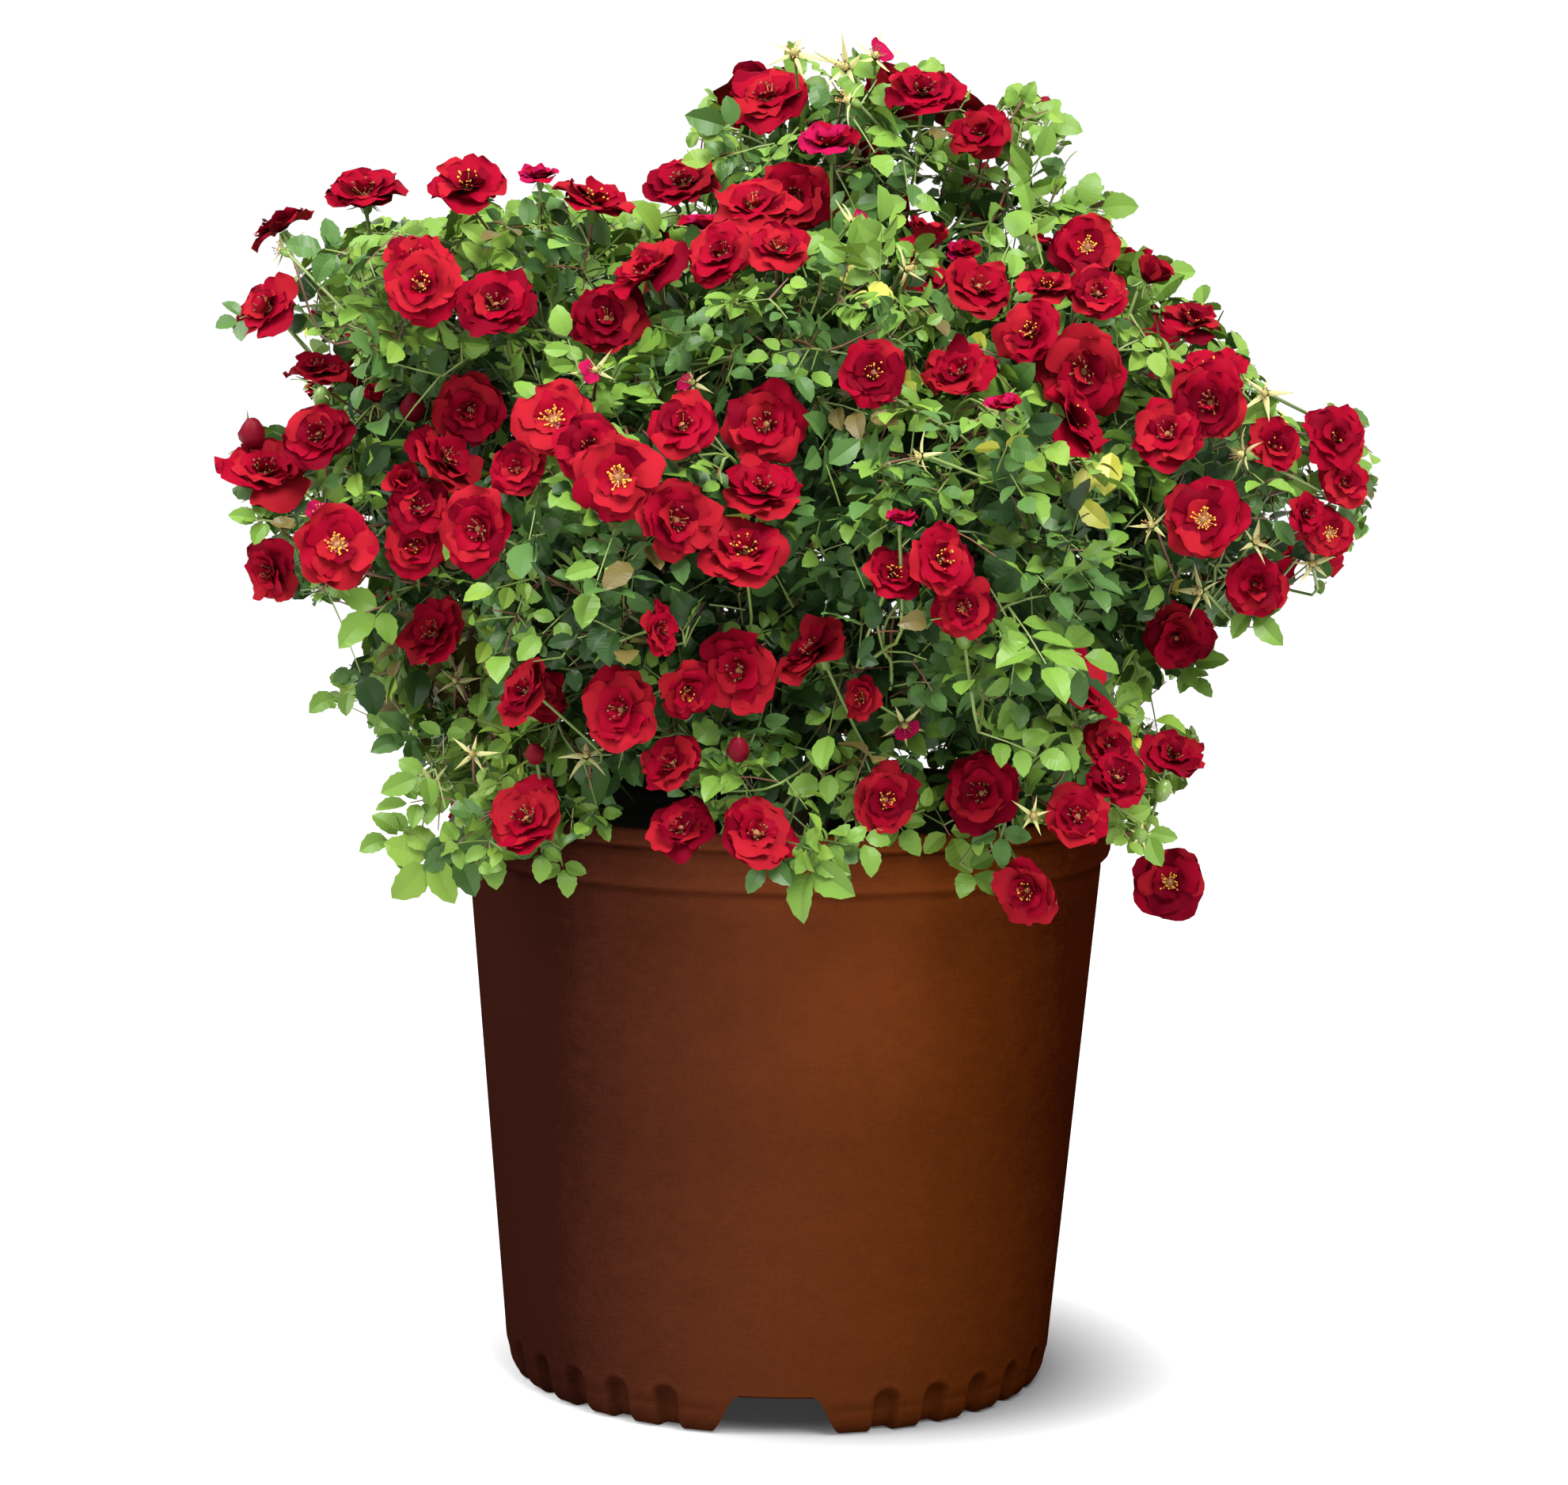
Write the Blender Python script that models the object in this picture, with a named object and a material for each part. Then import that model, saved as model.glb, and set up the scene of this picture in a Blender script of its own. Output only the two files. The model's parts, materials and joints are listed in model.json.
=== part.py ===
"""A groundcover rose bush in a round nursery pot, with its soil, stem base, canes and masses of foliage.

Metres, +Z up. The origin is the centre of the pot's foot, on the ground. -Y is the front of the plant.
"""

import math

import bmesh
import bpy
from mathutils import Vector, noise
from mathutils.bvhtree import BVHTree

# Pot: a thin moulded tub that tapers to its foot, under a banded rim
POT_HEIGHT = 0.250
RIM_RADIUS = 0.1405
RIM_BAND_HEIGHT = 0.0240
RIM_FLARE_WIDTH = 0.0038
RIM_FLARE_HEIGHT = 0.0052
LIP_HEIGHT = 0.0076
LIP_GROOVE = 0.0012
HEEL_RADIUS = 0.1187
HEEL_HEIGHT = 0.016
FOOT_RADIUS = 0.1095
WALL = 0.0022
FLOOR_HEIGHT = 0.0150
POT_SIDES = 64

# Foot of the pot: drain notches in the skirt, with flutes between them
NOTCHES = 4
NOTCH_HEIGHT = 0.0125
NOTCH_HALF_TOP = 0.0130
NOTCH_HALF_BOTTOM = 0.0235
FLUTE_DEPTH = 0.0030
FLUTE_HEIGHT = 0.0150

# Soil and the short woody stem that the canes rise from
GAP = 0.0004
SOIL_DEPTH_BELOW_RIM = 0.034
STEM_HEIGHT = 0.020
STEM_TOP_RADIUS = 0.0205
STEM_FOOT_RADIUS = 0.0260

# Canes
CANE_SIDES = 6
CANE_RINGS = 8
PATH_STEP = 0.001
FLANK_CANE_RADIUS = (0.0031, 0.0021)
SHOULDER_CANE_RADIUS = (0.0026, 0.0018)
LEADER_RADIUS = (0.0033, 0.0022)
FLANK_CANE_CIRCLE = 0.0155
SHOULDER_CANE_CIRCLE = 0.0078
LEADER_LIFT = 0.140
LEADER_AIM = (0.010, -0.004, 0.526)

# Crown: its spread, height and the clear middle that the canes rise through
CROWN_WIDTH = 0.500
CROWN_DEPTH = 0.460
CROWN_TOP = 0.568
FLANK_CLEARANCE = 0.058
SHOULDER_CLEARANCE = 0.029
CREST_FLOOR = 0.448
MASS_GAP = 0.0006
MASS_SEGMENTS = 14
MASS_RINGS = 9
UNEVENNESS = 0.15

EIGHT_SIDES = ("front", "front_right", "right", "back_right", "back", "back_left", "left", "front_left")
EIGHT_QUARTERS = (
    "front_right", "right_front", "right_back", "back_right",
    "back_left", "left_back", "left_front", "front_left",
)
SIX_SIDES = ("front", "front_right", "back_right", "back", "back_left", "front_left")
# Rings of foliage masses: azimuth of the first one in degrees from the front, how far out and how high
# their centres are, half sizes outward, sideways and upward, and the side that each one stands on
RINGS = {
    "skirt": (0.0, 0.158, 0.264, (0.030, 0.056, 0.056), EIGHT_SIDES),
    "flank": (22.5, 0.145, 0.362, (0.080, 0.074, 0.078), EIGHT_QUARTERS),
    "shoulder": (0.0, 0.104, 0.434, (0.080, 0.076, 0.058), SIX_SIDES),
}
# Where one mass stands away from its ring: outward, upward, and as a share of its ring's size
STRAY = {
    "skirt_front": (0.000, 0.004, 0.92),
    "skirt_front_right": (0.004, -0.002, 1.04),
    "skirt_right": (0.000, 0.000, 1.00),
    "skirt_left": (0.006, 0.006, 1.03),
    "skirt_back": (0.000, 0.006, 0.92),
    "skirt_back_left": (0.004, 0.002, 1.00),
    "flank_right_front": (0.032, 0.024, 0.97),
    "flank_right_back": (0.010, 0.014, 0.98),
    "flank_left_front": (0.032, 0.014, 0.94),
    "flank_left_back": (0.012, 0.014, 0.96),
    "shoulder_front_left": (0.042, 0.020, 1.03),
    "shoulder_back": (0.004, 0.010, 1.02),
    "shoulder_back_left": (0.032, 0.018, 1.00),
    "shoulder_front_right": (0.012, -0.008, 0.96),
    "shoulder_back_right": (0.010, -0.004, 0.94),
}
# The crest, a little to the right of the middle: centre and half size of each mass
CREST = {
    "crest_left": ((-0.012, 0.018, 0.506), 0.050),
    "crest_right": ((0.090, 0.002, 0.504), 0.049),
    "crest_peak": ((0.032, -0.020, 0.520), 0.050),
    "crest_saddle": ((-0.064, 0.000, 0.474), 0.046),
}

BROWN_PLASTIC = (0.125, 0.038, 0.016)
POTTING_SOIL = (0.030, 0.020, 0.014)
BARK = (0.16, 0.13, 0.06)
LEAF_GREEN = (0.060, 0.145, 0.035)


def clear_scene():
    for obj in list(bpy.data.objects):
        bpy.data.objects.remove(obj, do_unlink=True)


def make_material(name, colour, roughness, metallic=0.0):
    material = bpy.data.materials.new(name)
    material.use_nodes = True
    shader = material.node_tree.nodes["Principled BSDF"]
    shader.inputs["Base Color"].default_value = (*colour, 1.0)
    shader.inputs["Roughness"].default_value = roughness
    shader.inputs["Metallic"].default_value = metallic
    return material


def add_object(name, mesh, material):
    obj = bpy.data.objects.new(name, mesh)
    mesh.materials.append(material)
    bpy.context.scene.collection.objects.link(obj)
    return obj


def mesh_from(name, points, faces, smooth=True):
    mesh = bpy.data.meshes.new(name)
    mesh.from_pydata(points, [], faces)
    mesh.validate()
    if smooth:
        mesh.shade_smooth()
        mesh.set_sharp_from_angle(angle=math.radians(35))
    return mesh


def outward(azimuth):
    """Unit vector at this azimuth, in degrees from the front and turning to the right."""
    turn = math.radians(azimuth)
    return Vector((math.sin(turn), -math.cos(turn), 0.0))


def lathe(name, profile, sides, radius_at=None):
    """A closed solid turned from a profile of (radius, height) whose two ends lie on the axis."""
    points = []
    rings = []
    for radius, height in profile:
        if radius == 0.0:
            rings.append([len(points)])
            points.append((0.0, 0.0, height))
            continue
        ring = []
        for side in range(sides):
            turn = 2 * math.pi * side / sides
            here = radius_at(radius, height, side) if radius_at else radius
            ring.append(len(points))
            points.append((here * math.sin(turn), -here * math.cos(turn), height))
        rings.append(ring)
    faces = []
    for lower, upper in zip(rings, rings[1:]):
        for side in range(sides):
            after = (side + 1) % sides
            if len(lower) == 1:
                faces.append((lower[0], upper[after], upper[side]))
            elif len(upper) == 1:
                faces.append((lower[side], lower[after], upper[0]))
            else:
                faces.append((lower[side], lower[after], upper[after], upper[side]))
    return mesh_from(name, points, faces)


# ---- pot and soil -----------------------------------------------------------------------------


def wall_radius(height):
    """Outer radius of the tapered wall between the heel and the rim band."""
    top = POT_HEIGHT - RIM_BAND_HEIGHT
    share = (height - HEEL_HEIGHT) / (top - HEEL_HEIGHT)
    return HEEL_RADIUS + share * (RIM_RADIUS - RIM_FLARE_WIDTH - HEEL_RADIUS)


def flute_share(height):
    """How deep a flute is at this height: full at the foot, nothing at the flute's arched head."""
    return max(0.0, 1.0 - (height / FLUTE_HEIGHT) ** 2) if height < FLUTE_HEIGHT else 0.0


def fluted_radius(radius, height, side):
    """The foot is drawn in at every second side, apart from those that a notch takes."""
    sides_per_notch = POT_SIDES // NOTCHES
    from_notch = (side + sides_per_notch // 2) % sides_per_notch - sides_per_notch // 2
    if side % 2 or abs(from_notch) < 4:
        return radius
    return radius - FLUTE_DEPTH * flute_share(height)


def pot_profile():
    """(radius, height) from the middle of the underside, out round the skirt, over the rim and back in."""
    band_foot = POT_HEIGHT - RIM_BAND_HEIGHT
    groove = POT_HEIGHT - LIP_HEIGHT
    underside = FLOOR_HEIGHT - WALL
    skirt_inside = FOOT_RADIUS - 2 * WALL
    return [
        (0.0, underside),
        (skirt_inside - WALL, underside),
        (skirt_inside, underside / 3),
        (skirt_inside, 0.0),
        (FOOT_RADIUS, 0.0),
        (FOOT_RADIUS + 0.0045, 0.0035),
        (HEEL_RADIUS - 0.0020, 0.0085),
        (HEEL_RADIUS, HEEL_HEIGHT),
        (wall_radius(band_foot), band_foot),
        (RIM_RADIUS, band_foot + RIM_FLARE_HEIGHT),
        (RIM_RADIUS, groove - LIP_GROOVE),
        (RIM_RADIUS - LIP_GROOVE, groove),
        (RIM_RADIUS, groove + LIP_GROOVE),
        (RIM_RADIUS - LIP_GROOVE, POT_HEIGHT),
        (RIM_RADIUS - LIP_GROOVE - WALL, POT_HEIGHT),
        (RIM_RADIUS - LIP_GROOVE - WALL, band_foot + RIM_FLARE_HEIGHT),
        (wall_radius(band_foot) - WALL, band_foot),
        (HEEL_RADIUS - WALL, HEEL_HEIGHT + WALL),
        (HEEL_RADIUS - 3 * WALL, FLOOR_HEIGHT),
        (0.0, FLOOR_HEIGHT),
    ]


def notch_cutter(name, azimuth):
    """A wedge through the skirt, wider at the ground than at its flat head."""
    across = outward(azimuth + 90)
    out = outward(azimuth)
    points = []
    for reach in (FOOT_RADIUS - 0.015, HEEL_RADIUS + 0.010):
        for half, height in (
            (-NOTCH_HALF_BOTTOM, -0.002),
            (NOTCH_HALF_BOTTOM, -0.002),
            (NOTCH_HALF_TOP, NOTCH_HEIGHT),
            (-NOTCH_HALF_TOP, NOTCH_HEIGHT),
        ):
            points.append(out * reach + across * half + Vector((0, 0, height)))
    faces = [(3, 2, 1, 0), (4, 5, 6, 7), (0, 1, 5, 4), (1, 2, 6, 5), (2, 3, 7, 6), (3, 0, 4, 7)]
    mesh = mesh_from(name, points, faces, smooth=False)
    shape = bmesh.new()
    shape.from_mesh(mesh)
    bmesh.ops.recalc_face_normals(shape, faces=shape.faces)
    shape.to_mesh(mesh)
    shape.free()
    cutter = bpy.data.objects.new(name, mesh)
    bpy.context.scene.collection.objects.link(cutter)
    cutter.hide_render = True
    cutter.display_type = "WIRE"
    return cutter


def make_pot():
    mesh = lathe("pot", pot_profile(), POT_SIDES, fluted_radius)
    pot = add_object("pot", mesh, make_material("brown_plastic", BROWN_PLASTIC, 0.42))
    for number in range(NOTCHES):
        cut = pot.modifiers.new(f"drain_notch_{number}", "BOOLEAN")
        cut.operation = "DIFFERENCE"
        cut.object = notch_cutter(f"notch_cutter_{number}", 360 / NOTCHES * number)
    return pot


def make_soil():
    """The root ball: it fills the pot to a little below the rim, and is slightly mounded."""
    top = POT_HEIGHT - SOIL_DEPTH_BELOW_RIM
    foot = FLOOR_HEIGHT + GAP
    inside = wall_radius(top) - WALL - GAP
    profile = [
        (0.0, foot),
        (HEEL_RADIUS - 3 * WALL - 2 * FLUTE_DEPTH, foot),
        (HEEL_RADIUS - WALL - FLUTE_DEPTH, FLUTE_HEIGHT + 2 * FLUTE_DEPTH),
        (inside - 0.0008, top - 0.004),
        (inside * 0.55, top),
        (0.0, top),
    ]
    mesh = lathe("soil", profile, POT_SIDES)
    return add_object("soil", mesh, make_material("potting_soil", POTTING_SOIL, 0.95))


# ---- stem and canes ---------------------------------------------------------------------------


def soil_top():
    return POT_HEIGHT - SOIL_DEPTH_BELOW_RIM + GAP


def stem_top():
    return soil_top() + STEM_HEIGHT


def make_stem():
    """The short woody foot of the bush, flared where it enters the soil."""
    foot = soil_top()
    profile = [
        (0.0, foot),
        (STEM_FOOT_RADIUS, foot),
        (STEM_TOP_RADIUS + 0.001, foot + STEM_HEIGHT * 0.35),
        (STEM_TOP_RADIUS, stem_top()),
        (0.0, stem_top()),
    ]
    return add_object("stem_base", lathe("stem_base", profile, 16), make_material("bark", BARK, 0.8))


def bezier(start, bend, end, share):
    left = start.lerp(bend, share)
    right = bend.lerp(end, share)
    return left.lerp(right, share)


def ring_round(centre, along, radius):
    """Points of one cross-section of a limb."""
    side = along.cross(Vector((0.31, 0.95, 0.05))).normalized()
    up = side.cross(along).normalized()
    points = []
    for corner in range(CANE_SIDES):
        turn = 2 * math.pi * corner / CANE_SIDES
        points.append(centre + side * (radius * math.cos(turn)) + up * (radius * math.sin(turn)))
    return points


def limb_end(start, bend, target, radius, crown_surface):
    """Share of the path at which the limb's end stands just clear of the first mass that it meets."""
    share = 0.1
    while share < 1.0:
        here = bezier(start, bend, target, share)
        along = (here - bezier(start, bend, target, share - 0.02)).normalized()
        clearances = []
        for point in [*ring_round(here, along, radius), here]:
            near, normal, _, distance = crown_surface.find_nearest(point)
            clearances.append(distance if (point - near).dot(normal) > 0 else -distance)
        if min(clearances) < GAP:
            break
        share += PATH_STEP
    return share - PATH_STEP


def make_cane(name, start, bend, target, radii, crown_surface, material):
    """A tapering limb from the stem base to the face of the mass that it carries."""
    end = limb_end(start, bend, target, radii[1], crown_surface)
    points = []
    faces = []
    for ring in range(CANE_RINGS):
        share = end * ring / (CANE_RINGS - 1)
        here = bezier(start, bend, target, share)
        if ring == 0:
            along = Vector((0, 0, 1))
        else:
            along = (here - bezier(start, bend, target, share - 0.02)).normalized()
        radius = radii[0] + (radii[1] - radii[0]) * ring / (CANE_RINGS - 1)
        points += ring_round(here, along, radius)
    for ring in range(CANE_RINGS - 1):
        for corner in range(CANE_SIDES):
            here = ring * CANE_SIDES + corner
            after = ring * CANE_SIDES + (corner + 1) % CANE_SIDES
            faces.append((here, here + CANE_SIDES, after + CANE_SIDES, after))
    faces.append(tuple(range(CANE_SIDES)))
    last = (CANE_RINGS - 1) * CANE_SIDES
    faces.append(tuple(range(last + CANE_SIDES - 1, last - 1, -1)))
    mesh = mesh_from(name, points, faces)
    shape = bmesh.new()
    shape.from_mesh(mesh)
    bmesh.ops.recalc_face_normals(shape, faces=shape.faces)
    shape.to_mesh(mesh)
    shape.free()
    return add_object(name, mesh, material)


# ---- crown ------------------------------------------------------------------------------------


class Mass:
    """One mass of foliage: an uneven lobe about its centre, kept inside its own flat-sided cell."""

    def __init__(self, name, centre, half, azimuth):
        self.name = name
        self.centre = centre
        self.half = half
        self.azimuth = azimuth
        self.planes = []

    def keep_beyond(self, normal, distance):
        """The mass stays where normal . point is more than distance."""
        self.planes.append((normal, distance))

    def lobe_reach(self, direction):
        """Distance from the centre to the lobe's uneven skin."""
        out = outward(self.azimuth)
        side = outward(self.azimuth + 90)
        local = (direction.dot(out), direction.dot(side), direction.z)
        stretch = math.sqrt(sum((part / size) ** 2 for part, size in zip(local, self.half)))
        bump = noise.noise(direction * 2.1 + self.centre * 37.0)
        bump += 0.5 * noise.noise(direction * 4.7 + self.centre * 61.0)
        return (1.0 + UNEVENNESS * bump * 1.6) / stretch

    def reach(self, direction):
        nearest = self.lobe_reach(direction)
        for normal, distance in self.planes:
            slope = normal.dot(direction)
            if slope < -1e-6:
                nearest = min(nearest, (distance - normal.dot(self.centre)) / slope)
        return nearest

    def mesh(self):
        """A ball of directions, each as long as the mass reaches that way."""
        profile = []
        for ring in range(MASS_RINGS + 1):
            tilt = math.pi * ring / MASS_RINGS
            profile.append((math.sin(tilt), -math.cos(tilt)))
        profile[0] = (0.0, -1.0)
        profile[-1] = (0.0, 1.0)
        mesh = lathe(self.name, profile, MASS_SEGMENTS)
        for vertex in mesh.vertices:
            direction = vertex.co.normalized()
            vertex.co = self.centre + direction * self.reach(direction)
        shape = bmesh.new()
        shape.from_mesh(mesh)
        bmesh.ops.triangulate(shape, faces=shape.faces)
        shape.to_mesh(mesh)
        shape.free()
        return mesh


def ring_masses():
    masses = []
    for prefix, (first, out, height, half, sides) in RINGS.items():
        for number, side in enumerate(sides):
            name = f"{prefix}_{side}"
            azimuth = first + 360 / len(sides) * number
            further, higher, share = STRAY.get(name, (0.0, 0.0, 1.0))
            centre = outward(azimuth) * (out + further) + Vector((0, 0, height + higher))
            masses.append(Mass(name, centre, [size * share for size in half], azimuth))
    return masses


def crest_masses():
    masses = []
    for name, (centre, size) in CREST.items():
        masses.append(Mass(name, Vector(centre), (size, size, size * 0.92), 0.0))
    return masses


def keep_apart(masses):
    """Neighbouring masses meet at a flat face halfway between their skins, with a hair's gap."""
    for one in masses:
        for other in masses:
            if one is other:
                continue
            between = other.centre - one.centre
            length = between.length
            between.normalize()
            own = one.lobe_reach(between)
            theirs = other.lobe_reach(-between)
            if own + theirs < length * 0.8:
                continue
            share = sum(one.half) / (sum(one.half) + sum(other.half))
            face = one.centre.dot(between) + length * share - MASS_GAP / 2
            one.keep_beyond(-between, -face)


def keep_in_bounds(mass):
    """Every mass stays inside the crown's spread and height, and clear of the pot and the canes."""
    for side in (-1, 1):
        mass.keep_beyond(Vector((-side, 0, 0)), -CROWN_WIDTH / 2)
        mass.keep_beyond(Vector((0, -side, 0)), -CROWN_DEPTH / 2)
    mass.keep_beyond(Vector((0, 0, -1)), -CROWN_TOP)
    out = outward(mass.azimuth)
    if mass.name.startswith("skirt"):
        mass.keep_beyond(out, RIM_RADIUS + 4 * GAP)
    elif mass.name.startswith("flank"):
        mass.keep_beyond(out, FLANK_CLEARANCE)
        mass.keep_beyond(Vector((0, 0, 1)), POT_HEIGHT + 0.012)
    elif mass.name.startswith("shoulder"):
        mass.keep_beyond(out, SHOULDER_CLEARANCE)
    else:
        mass.keep_beyond(Vector((0, 0, 1)), CREST_FLOOR)


def make_crown():
    """The foliage masses, and one surface made up of all their skins."""
    masses = ring_masses() + crest_masses()
    keep_apart(masses)
    leaves = make_material("foliage", LEAF_GREEN, 0.6)
    points = []
    faces = []
    for mass in masses:
        keep_in_bounds(mass)
        mesh = mass.mesh()
        add_object(mass.name, mesh, leaves)
        first = len(points)
        points += [vertex.co.copy() for vertex in mesh.vertices]
        faces += [[first + corner for corner in face.vertices] for face in mesh.polygons]
    return masses, BVHTree.FromPolygons(points, faces)


def make_canes(masses, crown_surface, material):
    """One cane to each flank and shoulder mass, and a leader to the crest."""
    top = stem_top() + GAP
    for mass in masses:
        out = outward(mass.azimuth)
        if mass.name.startswith("flank"):
            circle, radii, lift = FLANK_CANE_CIRCLE, FLANK_CANE_RADIUS, 0.045
        elif mass.name.startswith("shoulder"):
            circle, radii, lift = SHOULDER_CANE_CIRCLE, SHOULDER_CANE_RADIUS, 0.110
        else:
            continue
        start = out * circle + Vector((0, 0, top))
        bend = out * (circle + 0.012) + Vector((0, 0, top + lift))
        make_cane(f"cane_{mass.name}", start, bend, mass.centre, radii, crown_surface, material)
    start = Vector((0, 0, top))
    bend = Vector((0, 0, top + LEADER_LIFT))
    make_cane("cane_leader", start, bend, Vector(LEADER_AIM), LEADER_RADIUS, crown_surface, material)


def main():
    clear_scene()
    make_pot()
    make_soil()
    stem = make_stem()
    masses, crown_surface = make_crown()
    make_canes(masses, crown_surface, stem.data.materials[0])


main()
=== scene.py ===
"""A red rose bush in full flower, grown on from its canes, in a brown nursery pot."""

import functools
import itertools
import json
import math

import bpy
import numpy as np
from mathutils import Matrix, Vector
from mathutils.bvhtree import BVHTree

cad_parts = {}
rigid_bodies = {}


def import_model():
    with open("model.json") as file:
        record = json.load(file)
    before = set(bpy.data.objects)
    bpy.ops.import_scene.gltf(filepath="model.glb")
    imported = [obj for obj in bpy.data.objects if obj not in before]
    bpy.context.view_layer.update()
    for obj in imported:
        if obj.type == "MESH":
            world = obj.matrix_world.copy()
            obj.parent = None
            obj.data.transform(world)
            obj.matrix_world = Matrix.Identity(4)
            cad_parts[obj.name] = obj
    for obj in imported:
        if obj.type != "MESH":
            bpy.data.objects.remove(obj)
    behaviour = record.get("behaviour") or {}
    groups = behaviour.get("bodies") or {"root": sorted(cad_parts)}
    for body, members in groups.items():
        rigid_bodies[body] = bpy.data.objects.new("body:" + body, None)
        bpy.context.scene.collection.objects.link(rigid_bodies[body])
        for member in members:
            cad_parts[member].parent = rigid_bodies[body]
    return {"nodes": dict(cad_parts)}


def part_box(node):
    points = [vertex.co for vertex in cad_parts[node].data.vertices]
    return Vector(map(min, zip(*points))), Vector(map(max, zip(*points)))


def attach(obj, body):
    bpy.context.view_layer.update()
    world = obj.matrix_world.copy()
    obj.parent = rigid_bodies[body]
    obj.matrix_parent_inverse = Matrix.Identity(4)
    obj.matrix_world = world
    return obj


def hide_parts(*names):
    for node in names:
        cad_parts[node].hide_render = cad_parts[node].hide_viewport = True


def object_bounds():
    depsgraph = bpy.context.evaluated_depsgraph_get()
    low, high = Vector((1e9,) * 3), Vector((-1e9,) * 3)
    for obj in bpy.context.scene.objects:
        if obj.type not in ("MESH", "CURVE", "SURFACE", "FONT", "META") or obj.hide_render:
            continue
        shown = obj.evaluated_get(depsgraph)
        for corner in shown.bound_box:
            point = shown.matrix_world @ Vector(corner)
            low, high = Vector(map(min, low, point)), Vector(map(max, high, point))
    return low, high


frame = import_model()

bl_info = {
    "name": "Potted Rose Bush",
    "version": (1, 0, 0),
    "blender": (4, 5, 0),
    "location": "View3D > Sidebar > Rose Bush",
    "description": "Grows a red rose bush in full flower from its canes, in a brown nursery pot",
    "category": "Add Mesh",
}

CAD_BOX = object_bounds()
NODES = frame["nodes"]
BODY = "root"

# ---- the frame's own sizes ----

POT_LOW, POT_HIGH = (Vector(corner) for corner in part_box("pot"))
RIM_RADIUS = (POT_HIGH.x - POT_LOW.x) / 2
POT_HEIGHT = POT_HIGH.z
SOIL_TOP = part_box("soil")[1][2]
STEM_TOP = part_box("stem_base")[1][2]

# ---- how the pot is moulded ----

WALL = 0.0022
BAND_FOOT = POT_HEIGHT - 0.024
FLARE_WIDTH = 0.0038
FLARE_HEIGHT = 0.0052
LIP_FOOT = POT_HEIGHT - 0.0076
HEEL_RADIUS = 0.1187
HEEL_HEIGHT = 0.016
FOOT_RADIUS = 0.1095
POT_COLUMNS = 600
NOTCHES = 4
NOTCH_HEIGHT = 0.0178
NOTCH_HALF_TOP = 0.0135
NOTCH_HALF_FOOT = 0.0262
FLUTES_PER_QUARTER = 5
FLUTE_SPACING = math.radians(11.25)
FLUTE_HALF_WIDTH = 0.0056
FLUTE_HEIGHT = 0.0195
FLUTE_DEPTH = 0.0046
FLUTE_LIFT = 0.001
FLUTE_LIP = 0.0005
FLUTE_EASE = 0.0024
FOOT_ZONE = 0.03
# (radius, height) round the foot, and along the underside of the base plate.
FOOT_PROFILE = (
    (0.1112, 0.0), (0.1128, 0.0006), (0.1142, 0.0016), (0.1156, 0.0032), (0.1166, 0.0052), (0.1173, 0.0076),
    (0.1176, 0.01),
)
BASE_PROFILE = (
    (0.0005, 0.0128), (0.04, 0.0128), (0.0425, 0.0112), (0.084, 0.0112), (0.0865, 0.0128), (0.1085, 0.0142),
)
# The plastic's painted light and shade: the middle and half width across the pot of its painted lit stretch,
# the middle of its palest painted highlight, how fast the brown turns from the left's shaded hue to the
# right's, and the heights over which painted light makes it paler.
PAINTED_LIGHT_MIDDLE = 0.015
PAINTED_LIGHT_WIDTH = 0.11
PAINTED_HIGHLIGHT_MIDDLE = 0.045
PLASTIC_TURN = 6.0
PAINTED_LIGHT_BAND = (0.125, 0.193)
RIM_PAINTED_LIGHT_BAND = (0.212, 0.226)

# ---- where the eye stands, and the flowers seen from it ----

# How the eye is turned, in radians, the height in millimetres that it rolls about, and its lens.
EYE = Vector((0.0, -1.5, 0.419))
EYE_PITCH = 0.0972
EYE_ROLL = 0.0166
EYE_YAW = -0.0008
LOOK_HEIGHT = 272.7
LENS = 80.09
SENSOR = 36.0

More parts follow.
